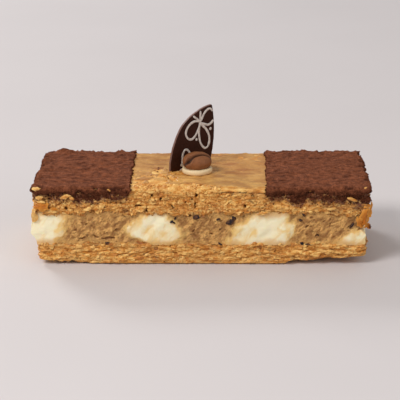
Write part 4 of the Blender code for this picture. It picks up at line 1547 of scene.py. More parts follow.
# The flourish on the leaf, in mm along its foot and upwards: loops round a flower's middle, lines and dots
FLOURISH_LOOPS = (
    (
        (12.5, 16.4),
        (10.6, 17.1),
        (8.9, 16.7),
        (7.3, 15.3),
        (6.5, 13.4),
        (7.1, 11.5),
        (8.6, 10.7),
        (10.1, 11.5),
        (11.7, 13.9),
    ),
    (
        (12.5, 16.4),
        (13.2, 17.6),
        (14.0, 19.2),
        (15.3, 20.6),
        (16.8, 20.9),
        (17.8, 19.4),
        (18.1, 17.2),
        (17.3, 15.7),
        (15.9, 15.1),
        (14.4, 15.5),
    ),
    (
        (12.5, 16.4),
        (13.3, 15.3),
        (14.9, 13.7),
        (16.1, 11.4),
        (16.3, 8.95),
        (15.6, 7.1),
        (14.25, 6.7),
        (12.8, 8.4),
        (12.1, 10.9),
        (12.0, 13.9),
    ),
    (
        (5.0, 1.6),
        (5.0, 3.4),
        (5.1, 5.4),
        (5.7, 6.9),
        (6.6, 7.3),
        (7.7, 6.4),
        (8.3, 4.9),
        (8.6, 3.2),
        (7.6, 1.4),
        (6.2, 0.7),
    ),
)
FLOURISH_LINES = (
    ((12.5, 16.4), (11.6, 17.5), (10.4, 18.5), (9.1, 19.6)),
    ((12.5, 16.4), (12.6, 18.2), (12.7, 19.6), (12.6, 20.8)),
    ((2.6, -1.6), (3.45, -0.9), (4.2, 0.0), (4.9, 0.4)),
)
FLOURISH_DOTS = ((16.8, 13.5), (10.9, 10.35), (4.56, 1.87))


def spline_through(knots, closed, spacing=0.16 * MM):
    """Evenly spaced points on a smooth curve through the given ones."""
    knots = np.asarray(knots, dtype=float) * MM
    count = len(knots)
    if closed:
        padded = np.concatenate([knots[-1:], knots, knots[:2]])
        pieces = count
    else:
        padded = np.concatenate([2 * knots[:1] - knots[1:2], knots, 2 * knots[-1:] - knots[-2:-1]])
        pieces = count - 1
    share = np.linspace(0.0, pieces, pieces * 24, endpoint=not closed)
    cell = np.minimum(share.astype(int), pieces - 1)
    t = (share - cell)[:, None]
    a, b, c, d = (padded[cell + k] for k in range(4))
    curve = 0.5 * (2 * b + (c - a) * t + (2 * a - 5 * b + 4 * c - d) * t**2 + (3 * b - a - 3 * c + d) * t**3)
    if closed:
        length = np.linalg.norm(np.diff(curve, axis=0, append=curve[:1]), axis=1).sum()
        return even_loop(curve, int(length / spacing))
    along = np.concatenate([[0.0], np.cumsum(np.linalg.norm(np.diff(curve, axis=0), axis=1))])
    wanted = np.linspace(0.0, along[-1], int(along[-1] / spacing))
    return np.column_stack([np.interp(wanted, along, curve[:, axis]) for axis in range(2)])


def inside_outline(points, outline, margin):
    """Whether each point lies inside an outline, at least a margin from its border."""
    x, y = points.T
    crossings = np.zeros(len(points), dtype=int)
    nearest = np.full(len(points), 1.0)
    for start, end in zip(outline, np.roll(outline, -1, axis=0)):
        if start[1] != end[1]:
            meets = (start[1] > y) != (end[1] > y)
            at = start[0] + (y - start[1]) * (end[0] - start[0]) / (end[1] - start[1])
            crossings += meets & (x < at)
        span = end - start
        share = np.clip(((points - start) @ span) / max(float(span @ span), 1e-15), 0.0, 1.0)
        nearest = np.minimum(nearest, np.linalg.norm(points - (start + share[:, None] * span), axis=1))
    return (crossings % 2 == 1) & (nearest > margin)


def runs_inside(curve, kept, closed):
    """The unbroken runs of a curve's kept points, and whether each is a whole closed loop."""
    if closed and kept.all():
        return [(curve, True)]
    if closed:
        start = int(np.argmin(kept))
        curve = np.roll(curve, -start, axis=0)
        kept = np.roll(kept, -start)
    runs = []
    first = None
    for i, keep in enumerate(list(kept) + [False]):
        if keep and first is None:
            first = i
        elif not keep and first is not None:
            if i - first > 3:
                runs.append((curve[first:i], False))
            first = None
    return runs


def printed_line(curve, closed, width, lie, height=0.07 * MM):
    """A printed line: a low round ribbon along a curve in the leaf's plane, lying on its face."""
    ahead = np.roll(curve, -1, axis=0) - np.roll(curve, 1, axis=0)
    if not closed:
        ahead[0] = curve[1] - curve[0]
        ahead[-1] = curve[-1] - curve[-2]
    ahead /= np.linalg.norm(ahead, axis=1, keepdims=True)
    across = np.column_stack([-ahead[:, 1], ahead[:, 0]])
    widths = width * (1.0 + 0.18 * noise(np.column_stack([curve, np.zeros(len(curve))]), 1.4 * MM, 860))
    if not closed:
        from_end = np.minimum(np.arange(len(curve)), np.arange(len(curve))[::-1])
        widths *= np.clip(0.35 + 0.3 * from_end, 0.0, 1.0)
    profile = ((-1.0, -0.6), (-0.92, 0.45), (-0.5, 0.95), (0.0, 1.0), (0.5, 0.95), (0.92, 0.45), (1.0, -0.6))
    points = []
    for out, rise in profile:
        flat = curve + across * (0.5 * widths * out)[:, None]
        points.append(np.column_stack([flat[:, 0], np.full(len(flat), lie - rise * height), flat[:, 1]]))
    columns = len(profile)
    rings = np.stack(points, axis=1).reshape(-1, 3)
    faces = grid_faces(len(curve), columns, wrap=True).tolist()
    if closed:
        last = (len(curve) - 1) * columns
        for k in range(columns):
            after = (k + 1) % columns
            faces.append([last + k, last + after, after, k])
    else:
        faces.append(list(range(columns))[::-1])
        faces.append([(len(curve) - 1) * columns + k for k in range(columns)])
    return rings, faces


class MILLEFEUILLE_OT_print(SliceOperator, Operator):
    """Prints the pale flourish of loops, lines and dots on the leaf"""

    bl_idname = "mille_feuille.print"
    bl_label = "Print on the leaf"

    def execute(self, context):
        finish = finish_named("Pale print", print_finish, self.settings(context).topping)
        outline = leaf_outline()
        lie = 0.0
        shapes = []
        curves = [(spline_through(loop, True), True) for loop in FLOURISH_LOOPS]
        curves += [(spline_through(line, False), False) for line in FLOURISH_LINES]
        for curve, closed in curves:
            kept = inside_outline(curve, outline, 0.30 * MM)
            for run, whole in runs_inside(curve, kept, closed):
                shapes.append(printed_line(run, whole, 0.85 * MM, lie))
        for x, z in FLOURISH_DOTS:
            points, faces = lump(3, rings=7, columns=16, roughness=0.1)
            shapes.append((turned(points, (x * MM, lie, z * MM), (0.0, 0.0, 0.0), (1.0 * MM, 0.16 * MM, 1.15 * MM)), faces))
        points, faces = joined(shapes)
        piece = make_mesh("leaf_print", from_leaf_plane(points), faces, finish)
        recalculate_outside(piece.data)
        into_slice(piece)
        return {"FINISHED"}


def recalculate_outside(mesh):
    """Turns every face of closed shapes outwards."""
    shape = bmesh.new()
    shape.from_mesh(mesh)
    bmesh.ops.recalc_face_normals(shape, faces=shape.faces)
    shape.to_mesh(mesh)
    shape.free()


class MILLEFEUILLE_OT_disc(SliceOperator, Operator):
    """Builds the disc of white chocolate under the bean"""

    bl_idname = "mille_feuille.disc"
    bl_label = "White chocolate disc"

    def execute(self, context):
        finish = finish_named("White chocolate", white_chocolate_finish, self.settings(context).topping)
        low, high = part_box("white_chocolate_disc")
        middle = 0.5 * (low + high)
        radius = 0.5 * (high.x - low.x)
        height = high.z - low.z
        columns = 144
        around = np.linspace(0.0, math.tau, columns, endpoint=False)
        profile = [(share, 0.0) for share in np.linspace(0.05, 0.88, 10)]
        bend = np.linspace(-0.5 * math.pi, 0.5 * math.pi, 13)
        profile += [(0.90 + 0.10 * math.cos(a), 0.5 + 0.5 * math.sin(a)) for a in bend]
        profile += [(share, 1.0) for share in np.linspace(0.88, 0.05, 22)]
        uneven = 1.0 + 0.018 * np.sin(2.0 * around + 0.8) + 0.010 * np.sin(5.0 * around + 2.0)
        rows = []
        for share, level in profile:
            x = middle.x + radius * share * uneven * np.cos(around)
            y = middle.y + radius * share * uneven * np.sin(around)
            rows.append(np.column_stack([x, y, np.full(columns, low.z + height * level)]))
        points = np.concatenate(rows)
        first = len(points)
        points = np.concatenate([points, [(middle.x, middle.y, low.z), (middle.x, middle.y, high.z)]])
        faces = grid_faces(len(rows), columns, wrap=True).tolist()
        for i in range(columns):
            after = (i + 1) % columns
            faces.append([first, after, i])
            faces.append([first + 1, first - columns + i, first - columns + after])
        upper = smooth_step(points[:, 2], low.z + 0.3 * height, high.z)
        dimple = np.linalg.norm((points[:, :2] - (middle.x, middle.y)) / radius, axis=1)
        points[:, 2] += upper * (0.07 * MM * layered_noise(points, 2.8 * MM, 870) - 0.18 * MM * (dimple < 0.6))
        rim = np.exp(-(((dimple - 0.93) / 0.07) ** 2))
        points[:, 2] += upper * 0.12 * MM * rim
        piece = make_mesh("white_disc", points, faces, finish)
        recalculate_outside(piece.data)
        into_slice(piece, stands_for=("white_chocolate_disc",))
        return {"FINISHED"}


class MILLEFEUILLE_OT_bean(SliceOperator, Operator):
    """Builds the coffee bean of milk chocolate"""

    bl_idname = "mille_feuille.bean"
    bl_label = "Coffee bean"

    def execute(self, context):
        finish = finish_named("Milk chocolate", milk_chocolate_finish, self.settings(context).topping)
        low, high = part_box("coffee_bean")
        middle = 0.5 * (low + high)
        half = np.array(BEAN_SIZE) * 0.5
        long_steps = 110
        columns = 200
        polar = np.linspace(0.0, math.pi, long_steps + 1)[1:-1]
        turn = np.linspace(0.0, math.tau, columns, endpoint=False)
        angle = turn - 0.35 * np.sin(2.0 * turn)
        rows = []
        creases = []
        for step in polar:
            x = -half[0] * math.cos(step)
            girth = math.sin(step) ** 0.85
            y = half[1] * girth * np.sin(angle)
            z = half[2] * girth * np.cos(angle)
            drop = float(smooth_step(np.array(-x / half[0]), 0.15, 1.0))
            from_crease = y - CREASE_SWAY * math.sin(1.2 * math.pi * x / half[0]) + CREASE_DROP * drop
            upper = z > 0.0
            pocket = math.exp(-(((x + 0.62 * half[0]) / (0.22 * half[0])) ** 2))
            width = CREASE_WIDTH * (1.0 + 1.0 * pocket)
            groove = np.exp(-((from_crease / width) ** 2)) * upper
            lips = np.exp(-(((np.abs(from_crease) - 2.1 * width) / (0.8 * width)) ** 2)) * upper
            depth = CREASE_DEPTH * min(1.0, 1.2 * girth) * (1.0 + 0.7 * pocket)
            z = np.where(upper, 0.94 * z - depth * groove + 0.12 * depth * lips, z)
            rows.append(np.column_stack([np.full(columns, x), y, z]))
            # the crevice mark: painted shade down the crease
            creases.append(groove)
        points = np.concatenate(rows)
        first = len(points)
        points = np.concatenate([points, [(-half[0], 0.0, 0.0), (half[0], 0.0, 0.0)]])
        faces = grid_faces(len(rows), columns, wrap=True).tolist()
        for i in range(columns):
            after = (i + 1) % columns
            faces.append([first, after, i])
            faces.append([first + 1, first - columns + i, first - columns + after])
        rough = 0.05 * MM * layered_noise(points, 1.2 * MM, 880) + 0.07 * MM * noise(points, 3.4 * MM, 885)
        points += points / np.linalg.norm(points, axis=1, keepdims=True) * rough[:, None]
        turn_bean = Matrix.Rotation(BEAN_TURN, 3, "Z") @ Matrix.Rotation(BEAN_ROLL, 3, "X")
        points = points @ np.array(turn_bean).T
        points += np.array(middle) - 0.5 * (points.min(axis=0) + points.max(axis=0))
        crevice = np.concatenate(creases + [np.zeros(2)])
        piece = make_mesh("milk_bean", points, faces, finish, {"crevice": crevice})
        recalculate_outside(piece.data)
        into_slice(piece, stands_for=("coffee_bean",))
        return {"FINISHED"}


# ---------------------------------------------------------------------------------------------------------
# Loose flakes and crumbs


def shard(seed, width, thickness, curl, corners=6):
    """A thin angular flake about 1 long, a little curled: points and faces."""
    keys = np.column_stack([np.arange(corners), np.zeros(corners), np.zeros(corners)])
    angles = math.tau * (np.arange(corners) + 0.55 * hashed(keys, seed)) / corners
    reach = 0.5 * (0.62 + 0.38 * hashed(keys, seed + 1))
    x = reach * np.cos(angles)
    y = width * reach * np.sin(angles)
    z = curl * (x**2 - 0.12) + 0.10 * (hashed(keys, seed + 2) - 0.5)
    rim = np.column_stack([x, y, z])
    half = np.array((0.0, 0.0, 0.5 * thickness))
    crown = np.array([(0.04, 0.02, -0.12 * curl + 0.05)])
    points = np.concatenate([rim + half, rim - half, crown + 1.3 * half, crown - 1.3 * half])
    faces = []
    for i in range(corners):
        after = (i + 1) % corners
        faces.append([i, after, 2 * corners])
        faces.append([after + corners, i + corners, 2 * corners + 1])
        faces.append([i + corners, after + corners, after, i])
    return points, faces


def link(tree, source, target):
    """Links two sockets of a node tree."""
    tree.links.new(source, target)


def strewing_tree(name, kinds, finish, where):
    """A Geometry Nodes tree that strews small pieces over a surface, thickest where its where mark is high. Its inputs
    are how many lie on a square metre, their smallest and largest length, how far they lean and spin, how
    deep they sink, and the seed."""
    tree = bpy.data.node_groups.new(name, "GeometryNodeTree")
    labels = (
        ("Per square metre", "NodeSocketFloat"),
        ("Smallest", "NodeSocketFloat"),
        ("Largest", "NodeSocketFloat"),
        ("Lean", "NodeSocketFloat"),
        ("Spin", "NodeSocketFloat"),
        ("Lift", "NodeSocketFloat"),
        ("Seed", "NodeSocketInt"),
    )
    tree.interface.new_socket("Surface", in_out="INPUT", socket_type="NodeSocketGeometry")
    identifiers = {
        label: tree.interface.new_socket(label, in_out="INPUT", socket_type=kind).identifier for label, kind in labels
    }
    tree.interface.new_socket("Pieces", in_out="OUTPUT", socket_type="NodeSocketGeometry")
    ask = add_node(tree, "NodeGroupInput").outputs
    strew = add_node(tree, "GeometryNodeInputNamedAttribute", {"Name": where}, data_type="FLOAT")
    density = add_node(
        tree, "ShaderNodeMath", {0: ask["Per square metre"], 1: strew.outputs["Attribute"]}, operation="MULTIPLY"
    )
    spread = add_node(
        tree,
        "GeometryNodeDistributePointsOnFaces",
        {"Mesh": ask["Surface"], "Density": density.outputs[0], "Seed": ask["Seed"]},
        distribute_method="RANDOM",
    )
    normal = spread.outputs["Normal"]
    upright = add_node(tree, "FunctionNodeAlignRotationToVector", {"Vector": normal}, axis="Z")
    level = add_node(
        tree, "ShaderNodeVectorMath", {0: normal, 1: (0.0, 0.0, 1.0)}, operation="CROSS_PRODUCT"
    ).outputs[0]
    lying = add_node(
        tree,
        "FunctionNodeAlignRotationToVector",
        {"Rotation": upright.outputs[0], "Vector": level},
        axis="X",
        pivot_axis="Z",
    )
    less_lean = add_node(tree, "ShaderNodeMath", {0: ask["Lean"], 1: -1.0}, operation="MULTIPLY").outputs[0]
    less_spin = add_node(tree, "ShaderNodeMath", {0: ask["Spin"], 1: -1.0}, operation="MULTIPLY").outputs[0]
    lowest = add_node(tree, "ShaderNodeCombineXYZ", {"X": less_lean, "Y": less_lean, "Z": less_spin}).outputs[0]
    highest = add_node(
        tree, "ShaderNodeCombineXYZ", {"X": ask["Lean"], "Y": ask["Lean"], "Z": ask["Spin"]}
    ).outputs[0]
    lean = add_node(
        tree, "FunctionNodeRandomValue", {0: lowest, 1: highest, "Seed": ask["Seed"]}, data_type="FLOAT_VECTOR"
    )
    lean_turn = add_node(tree, "FunctionNodeEulerToRotation", {0: lean.outputs[0]})
    pose = add_node(
        tree,
        "FunctionNodeRotateRotation",
        {"Rotation": lying.outputs[0], "Rotate By": lean_turn.outputs[0]},
        rotation_space="LOCAL",
    )
    size = add_node(
        tree,
        "FunctionNodeRandomValue",
        {2: ask["Smallest"], 3: ask["Largest"], "Seed": add_int(tree, ask["Seed"], 5)},
        data_type="FLOAT",
    )
    raised = add_node(tree, "ShaderNodeVectorMath", {0: normal, "Scale": ask["Lift"]}, operation="SCALE").outputs[0]
    lifted = add_node(tree, "GeometryNodeSetPosition", {"Geometry": spread.outputs["Points"], "Offset": raised})
    group = add_node(tree, "GeometryNodeJoinGeometry")
    for kind in kinds:
        shape = add_node(tree, "GeometryNodeObjectInfo", {"Object": kind, "As Instance": True})
        link(tree, shape.outputs["Geometry"], group.inputs[0])
    pick = add_node(
        tree,
        "FunctionNodeRandomValue",
        {4: 0, 5: len(kinds) - 1, "Seed": add_int(tree, ask["Seed"], 9)},
        data_type="INT",
    )
    placed = add_node(
        tree,
        "GeometryNodeInstanceOnPoints",
        {
            "Points": lifted.outputs[0],
            "Instance": group.outputs[0],
            "Pick Instance": True,
            "Instance Index": pick.outputs[2],
            "Rotation": pose.outputs[0],
            "Scale": size.outputs[1],
        },
    )
    shade = add_node(
        tree, "FunctionNodeRandomValue", {2: 0.1, 3: 1.0, "Seed": add_int(tree, ask["Seed"], 13)}, data_type="FLOAT"
    )
    toned = add_node(
        tree,
        "GeometryNodeStoreNamedAttribute",
        {"Geometry": placed.outputs[0], "Name": "tone", "Value": shade.outputs[1]},
        data_type="FLOAT",
        domain="INSTANCE",
    )
    real = add_node(tree, "GeometryNodeRealizeInstances", {"Geometry": toned.outputs[0]})
    done = add_node(tree, "GeometryNodeSetMaterial", {"Geometry": real.outputs[0], "Material": finish})
    end = add_node(tree, "NodeGroupOutput")
    link(tree, done.outputs[0], end.inputs[0])
    return tree, identifiers


def add_int(tree, seed, step):
    """A seed of its own for each random choice."""
    return add_node(tree, "ShaderNodeMath", {0: seed, 1: float(step)}, operation="ADD").outputs[0]


def strew(name, surface_name, shapes, finish, values, where="strew"):
    """Strews angular pieces over a finished piece's surface and gives them as one plain mesh object."""
    kinds = []
    for number, (points, faces) in enumerate(shapes):
        kind = make_mesh(f"{name}_kind_{number}", points, faces, finish)
        recalculate_outside(kind.data)
        kinds.append(kind)
    tree, identifiers = strewing_tree(name, kinds, finish, where)
    carrier = bpy.data.objects.new(f"{name}_carrier", bpy.data.objects[surface_name].data.copy())
    bpy.context.scene.collection.objects.link(carrier)
    modifier = carrier.modifiers.new("Strewing", "NODES")
    modifier.node_group = tree
    for label, value in values.items():
        modifier[identifiers[label]] = value
    depsgraph = bpy.context.evaluated_depsgraph_get()
    mesh = bpy.data.meshes.new_from_object(carrier.evaluated_get(depsgraph))
    for temporary in (carrier, *kinds):
        shape = temporary.data
        bpy.data.objects.remove(temporary)
        bpy.data.meshes.remove(shape)
    if not len(mesh.polygons):
        raise RuntimeError(f"{name}: nothing was strewn")
    mesh.name = name
    mesh.materials.clear()
    mesh.materials.append(finish)
    mesh.shade_flat()
    piece = bpy.data.objects.new(name, mesh)
    bpy.context.scene.collection.objects.link(piece)
    return piece


class MILLEFEUILLE_OT_flakes(SliceOperator, Operator):
    """Strews loose flakes over the cut sides of both sheets"""

    bl_idname = "mille_feuille.flakes"
    bl_label = "Loose flakes"

    def execute(self, context):
        settings = self.settings(context).pastry
        finish = finish_named("Puff pastry", pastry_finish, settings)
        kinds = ((1, 0.6, 0.1, 0.5), (2, 0.4, 0.11, -0.5), (3, 0.8, 0.08, 0.8), (4, 0.3, 0.12, 0.4), (5, 0.5, 0.09, -0.9))
        shapes = [shard(seed, width, thickness, curl) for seed, width, thickness, curl in kinds]
        sheets = (
            ("top_flakes", "top_sheet", 0.5, 1.2, 31, 1300000.0, 1.0),
            ("base_flakes", "base_sheet", 0.26, 0.25, 47, 900000.0, 1.45),
            ("glaze_flakes", "coffee_glaze", 0.5, 3.0, 53, 1600000.0, 0.8),
        )
        for name, surface, lean, spin, seed, per_square, longer in sheets:
            values = {
                "Per square metre": per_square,
                "Smallest": settings.smallest_flake,
                "Largest": settings.largest_flake * longer,
                "Lean": lean,
                "Spin": spin,
                "Lift": 0.05 * MM,
                "Seed": seed,
            }
            piece = strew(name, surface, shapes, finish, values)
            into_slice(piece)
        return {"FINISHED"}


# Large single flakes: middle, length, width and turns in mm and degrees, how far they bend, and their tone
SINGLE_FLAKES = (
    ((-56.0, -22.2, 27.6), (3.4, 1.3), (48.0, 6.0, -14.0), 0.4, 0.80),
    ((-55.4, -23.0, 24.6), (2.2, 1.3), (74.0, -12.0, -10.0), 0.3, 0.80),
    ((-46.2, -23.0, 25.2), (3.4, 1.3), (66.0, -14.0, 4.0), 0.3, 0.55),
    ((-44.2, -23.0, 24.5), (2.0, 1.0), (78.0, 20.0, 0.0), 0.3, 0.45),
    ((55.9, -22.3, 27.7), (2.4, 1.1), (46.0, -8.0, 20.0), 0.4, 0.70),
    ((51.6, -22.9, 24.2), (3.4, 1.1), (74.0, 20.0, 6.0), 0.2, 0.45),
    ((1.4, -21.2, 27.5), (4.6, 1.6), (36.0, 5.0, 6.0), 0.9, 0.75),
    ((-3.6, -21.0, 27.5), (3.4, 1.6), (32.0, -8.0, -12.0), 0.7, 0.65),
    ((-10.6, -21.6, 27.1), (3.2, 1.5), (46.0, -6.0, -4.0), 0.6, 0.75),
    ((-17.0, -22.0, 26.7), (3.0, 1.4), (54.0, 8.0, 3.0), 0.5, 0.80),
    ((-52.4, -22.6, 19.6), (5.6, 1.8), (84.0, 6.0, -4.0), 0.25, 0.60),
    ((-39.0, -22.7, 20.6), (3.2, 1.2), (78.0, -10.0, -2.0), 0.2, 0.75),
    ((44.5, -22.7, 20.8), (3.8, 1.2), (78.0, -3.0, 3.0), 0.2, 0.80),
    ((-9.0, -22.5, 18.8), (4.0, 1.6), (84.0, 12.0, 0.0), 0.2, 0.50),
    ((-57.3, -22.1, 18.0), (2.3, 5.2), (86.0, 4.0, -26.0), 0.2, 0.95),
    ((-54.6, -22.9, 23.2), (3.0, 1.2), (78.0, 6.0, -6.0), 0.3, 0.90),
    ((21.0, -22.4, 18.9), (3.6, 1.2), (84.0, -6.0, 0.0), 0.2, 0.60),
)
CARAMEL_FLAKES = (
    ((-55.0, -23.1, 21.7), (5.6, 2.9), (66.0, 0.0, -6.0), 0.6, 0.0),
    ((-50.2, -22.9, 20.6), (2.4, 1.0), (80.0, 12.0, 0.0), 0.3, 0.30),
    ((56.3, -21.9, 17.2), (3.4, 6.8), (88.0, 12.0, 24.0), 0.4, 0.0),
    ((54.7, -22.0, 15.4), (2.6, 4.2), (86.0, -8.0, 8.0), 0.3, 0.10),
    ((58.0, -21.2, 19.6), (2.0, 4.8), (84.0, 20.0, 40.0), 0.3, 0.35),
    ((57.2, -21.6, 14.2), (2.4, 2.2), (84.0, 16.0, 34.0), 0.3, 0.0),
    ((58.1, -21.5, 13.9), (1.2, 1.7), (84.0, 10.0, 40.0), 0.2, -1.2),
    ((57.0, -21.9, 21.6), (2.8, 1.6), (76.0, 6.0, 20.0), 0.2, 0.45),
)


def single_flake(seed, bend):
    """A thin plate about 1 long and 1 wide with a torn outline, bent across its length: points and faces."""
    rings, columns = 14, 44
    polar = np.linspace(0.0, math.pi, rings + 2)[1:-1]
    around = np.linspace(0.0, math.tau, columns, endpoint=False)
    grid_polar, grid_around = np.meshgrid(polar, around, indexing="ij")
    circle = np.stack([np.cos(grid_around), np.sin(grid_around), np.zeros_like(grid_polar)], -1).reshape(-1, 3)
    torn = 0.5 * (1.0 + 0.42 * layered_noise(circle + 5.0 * seed, 0.62, seed))
    reach = np.sin(grid_polar.ravel()) ** 0.35 * torn
    plate = circle * reach[:, None]
    plate[:, 2] = np.cos(grid_polar.ravel())
    plate = np.concatenate([plate, [(0.0, 0.0, 1.0), (0.0, 0.0, -1.0)]])
    plate[:, 2] *= 0.035
    flat = plate * (1.0, 1.0, 0.0)
    plate[:, 2] += bend * (0.12 - flat[:, 0] ** 2 - 0.8 * flat[:, 1] ** 2)
    plate[:, 2] += 0.16 * layered_noise(flat + 3.0 * seed, 0.35, seed + 1)
    top = rings * columns
    faces = grid_faces(rings, columns, wrap=True)[:, ::-1].tolist()
    for i in range(columns):
        after = (i + 1) % columns
        faces.append([i, after, top])
        faces.append([top + 1, (rings - 1) * columns + after, (rings - 1) * columns + i])
    return plate, faces


class MILLEFEUILLE_OT_single_flakes(SliceOperator, Operator):
    """Places the large single flakes: caramelised ones at both ends, pale ones along the rims"""

    bl_idname = "mille_feuille.single_flakes"
    bl_label = "Large flakes"

    def execute(self, context):
        settings = self.settings(context).pastry
        pastry = finish_named("Puff pastry", pastry_finish, settings)
        caramel = finish_named("Caramelised pastry", caramel_finish, settings)
        lots = (("large_flakes", SINGLE_FLAKES, 1, pastry), ("caramel_flakes", CARAMEL_FLAKES, 41, caramel))
        for name, flakes, first_seed, finish in lots:
            shapes = []
            tones = []
            for seed, (place, (length, width), angles, bend, tone) in enumerate(flakes, start=first_seed):
                flat, faces = single_flake(seed, bend)
                size = np.array((length, width, 0.5 * (length + width))) * MM
                turns = [math.radians(angle) for angle in angles]
                points = turned(flat, np.array(place) * MM + np.array(MIDDLE), turns, size)
                shapes.append((points, faces))
                rim = smooth_step(np.hypot(flat[:, 0], flat[:, 1]), 0.22, 0.52) if finish is caramel else 0.0
                tones.append(tone + 0.8 * rim + 0.3 * layered_noise(points, 1.2 * MM, 60 + seed))
            points, faces = joined(shapes)
            tone = np.concatenate(tones)
            marks = {"tone": np.clip(tone, 0.0, 1.0), "crevice": 0.9 * (1.0 - smooth_step(tone, -0.8, -0.1))}
            piece = make_mesh(name, points, faces, finish, marks)
            recalculate_outside(piece.data)
            into_slice(piece)
        return {"FINISHED"}


class MILLEFEUILLE_OT_crumbs(SliceOperator, Operator):
    """Strews crumbs of cocoa along the cocoa's edges"""

    bl_idname = "mille_feuille.crumbs"
    bl_label = "Cocoa crumbs"

    def execute(self, context):
        finish = finish_named("Cocoa powder", cocoa_finish, self.settings(context).topping)
        shapes = [lump(seed, rings=2, columns=6, roughness=0.9) for seed in (61, 62, 63, 64)]
        beds = (
            ("crumbs_left", "cocoa_left", "strew", 71, 9000000.0),
            ("crumbs_right", "cocoa_right", "strew", 83, 9000000.0),
            ("crumbs_fallen", "top_sheet", "dust", 97, 3600000.0),
        )
        for name, surface, where, seed, per_square in beds:
            values = {
                "Per square metre": per_square,
                "Smallest": 0.14 * MM,
                "Largest": 0.55 * MM,
                "Lean": 3.0,
                "Spin": 3.0,
                "Lift": 0.08 * MM,
                "Seed": seed,
            }
            piece = strew(name, surface, shapes, finish, values, where)
            into_slice(piece)
        return {"FINISHED"}


# ---------------------------------------------------------------------------------------------------------
# Stage


def aim(piece, target):
    """Turns a camera or a light towards a point."""
    direction = Vector(target) - piece.location
    piece.rotation_euler = direction.to_track_quat("-Z", "Y").to_euler()


def soft_light(name, place, target, size, power, colour):
    """A large soft light aimed at the slice."""
    data = bpy.data.lights.new(name, "AREA")
    data.shape = "DISK"
    data.size = size
    data.energy = power
    data.color = colour
    light = bpy.data.objects.new(name, data)
    bpy.context.scene.collection.objects.link(light)
    light.location = place
    aim(light, target)
    return light


class MILLEFEUILLE_OT_stage(SliceOperator, Operator):
    """Sets up the pale floor, soft studio light and the camera"""

    bl_idname = "mille_feuille.stage"
    bl_label = "Stage"

    def execute(self, context):
        settings = self.settings(context).stage
        half = 3.0
        corners = [(-half, -half, 0.0), (half, -half, 0.0), (half, half, 0.0), (-half, half, 0.0)]
        floor = make_mesh("floor", np.array(corners) - (0.0, 0.0, 0.0002), [(0, 1, 2, 3)], floor_finish(settings))
        middle = (0.0, 0.0, 0.015)
        soft_light("Key light", (-0.55, -0.50, 0.75), middle, 0.45, settings.key_power, (1.0, 0.98, 0.96))
        soft_light("Fill light", (0.7, -0.5, 0.45), middle, 0.9, settings.fill_power, (1.0, 0.97, 0.95))
        soft_light("Top light", (0.1, 0.35, 0.9), middle, 0.8, 0.5 * settings.fill_power, (1.0, 1.0, 1.0))
        soft_light("Back light", (-0.95, 1.25, 0.8), (-0.6, 1.0, 0.0), 0.6, settings.back_power, (1.0, 1.0, 1.0))
        world = bpy.data.worlds.new("Soft room")
        world.use_nodes = True
        world.node_tree.nodes["Background"].inputs["Color"].default_value = (1.0, 0.975, 0.965, 1.0)
        world.node_tree.nodes["Background"].inputs["Strength"].default_value = 0.30
        context.scene.world = world
        self.add_camera(context, settings)
        context.scene.view_settings.view_transform = "Standard"
        return {"FINISHED"}

    def add_camera(self, context, settings):
        """A long lens, a little above the slice and almost square to its front."""
        elevation = math.radians(18.62)
        azimuth = math.radians(-1.245)
        roll = math.radians(-0.356)
        distance = 488.4 * MM
        target = Vector((MIDDLE.x - 0.75 * MM, MIDDLE.y, 16.22 * MM))
        forward = Vector(
            (
                math.sin(azimuth) * math.cos(elevation),
                math.cos(azimuth) * math.cos(elevation),
                -math.sin(elevation),
            )
        )
        data = bpy.data.cameras.new("Camera")
        data.sensor_width = 36.0
        data.lens = settings.lens
        data.clip_start = 0.01
        camera = bpy.data.objects.new("Camera", data)
        context.scene.collection.objects.link(camera)
        camera.location = target - forward * distance
        turned = forward.to_track_quat("-Z", "Y") @ Matrix.Rotation(roll, 3, "Z").to_quaternion()
        camera.rotation_euler = turned.to_euler()
        context.scene.camera = camera


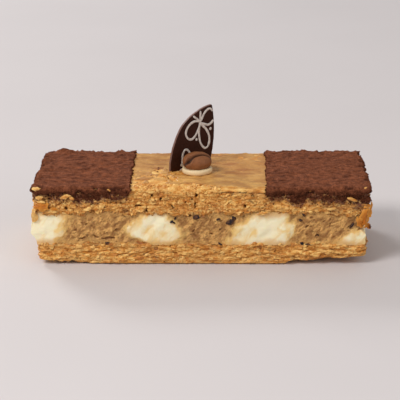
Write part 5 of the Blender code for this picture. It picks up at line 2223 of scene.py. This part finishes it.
class MilleFeuilleSettings(PropertyGroup):
    """Everything a user can change."""

    pastry: PointerProperty(type=PastrySettings)
    cream: PointerProperty(type=CreamSettings)
    topping: PointerProperty(type=ToppingSettings)
    stage: PointerProperty(type=StageSettings)


BUILDERS = (
    MILLEFEUILLE_OT_base_sheet,
    MILLEFEUILLE_OT_top_sheet,
    MILLEFEUILLE_OT_cocoa,
    MILLEFEUILLE_OT_crumbs,
    MILLEFEUILLE_OT_glaze,
    MILLEFEUILLE_OT_flakes,
    MILLEFEUILLE_OT_single_flakes,
    MILLEFEUILLE_OT_vanilla,
    MILLEFEUILLE_OT_coffee,
    MILLEFEUILLE_OT_specks,
    MILLEFEUILLE_OT_leaf,
    MILLEFEUILLE_OT_print,
    MILLEFEUILLE_OT_disc,
    MILLEFEUILLE_OT_bean,
    MILLEFEUILLE_OT_stage,
)


class MILLEFEUILLE_PT_panel(Panel):
    """Lists the settings and the builders"""

    bl_label = "Mille-feuille"
    bl_idname = "MILLEFEUILLE_PT_panel"
    bl_space_type = "VIEW_3D"
    bl_region_type = "UI"
    bl_category = "Mille-feuille"

    def draw(self, context):
        settings = context.scene.mille_feuille
        for title in ("pastry", "cream", "topping", "stage"):
            box = self.layout.box()
            box.label(text=title.capitalize())
            group = getattr(settings, title)
            for name in group.__annotations__:
                box.prop(group, name)
        for builder in BUILDERS:
            self.layout.operator(builder.bl_idname)


CLASSES = (
    PastrySettings,
    CreamSettings,
    ToppingSettings,
    StageSettings,
    MilleFeuilleSettings,
    *BUILDERS,
    MILLEFEUILLE_PT_panel,
)


def register():
    for item in CLASSES:
        bpy.utils.register_class(item)
    bpy.types.Scene.mille_feuille = PointerProperty(type=MilleFeuilleSettings)


def unregister():
    del bpy.types.Scene.mille_feuille
    for item in reversed(CLASSES):
        bpy.utils.unregister_class(item)


def main():
    """Builds every piece in order."""
    register()
    for builder in BUILDERS:
        group, name = builder.bl_idname.split(".")
        getattr(getattr(bpy.ops, group), name)()


if __name__ == "__main__":
    main()
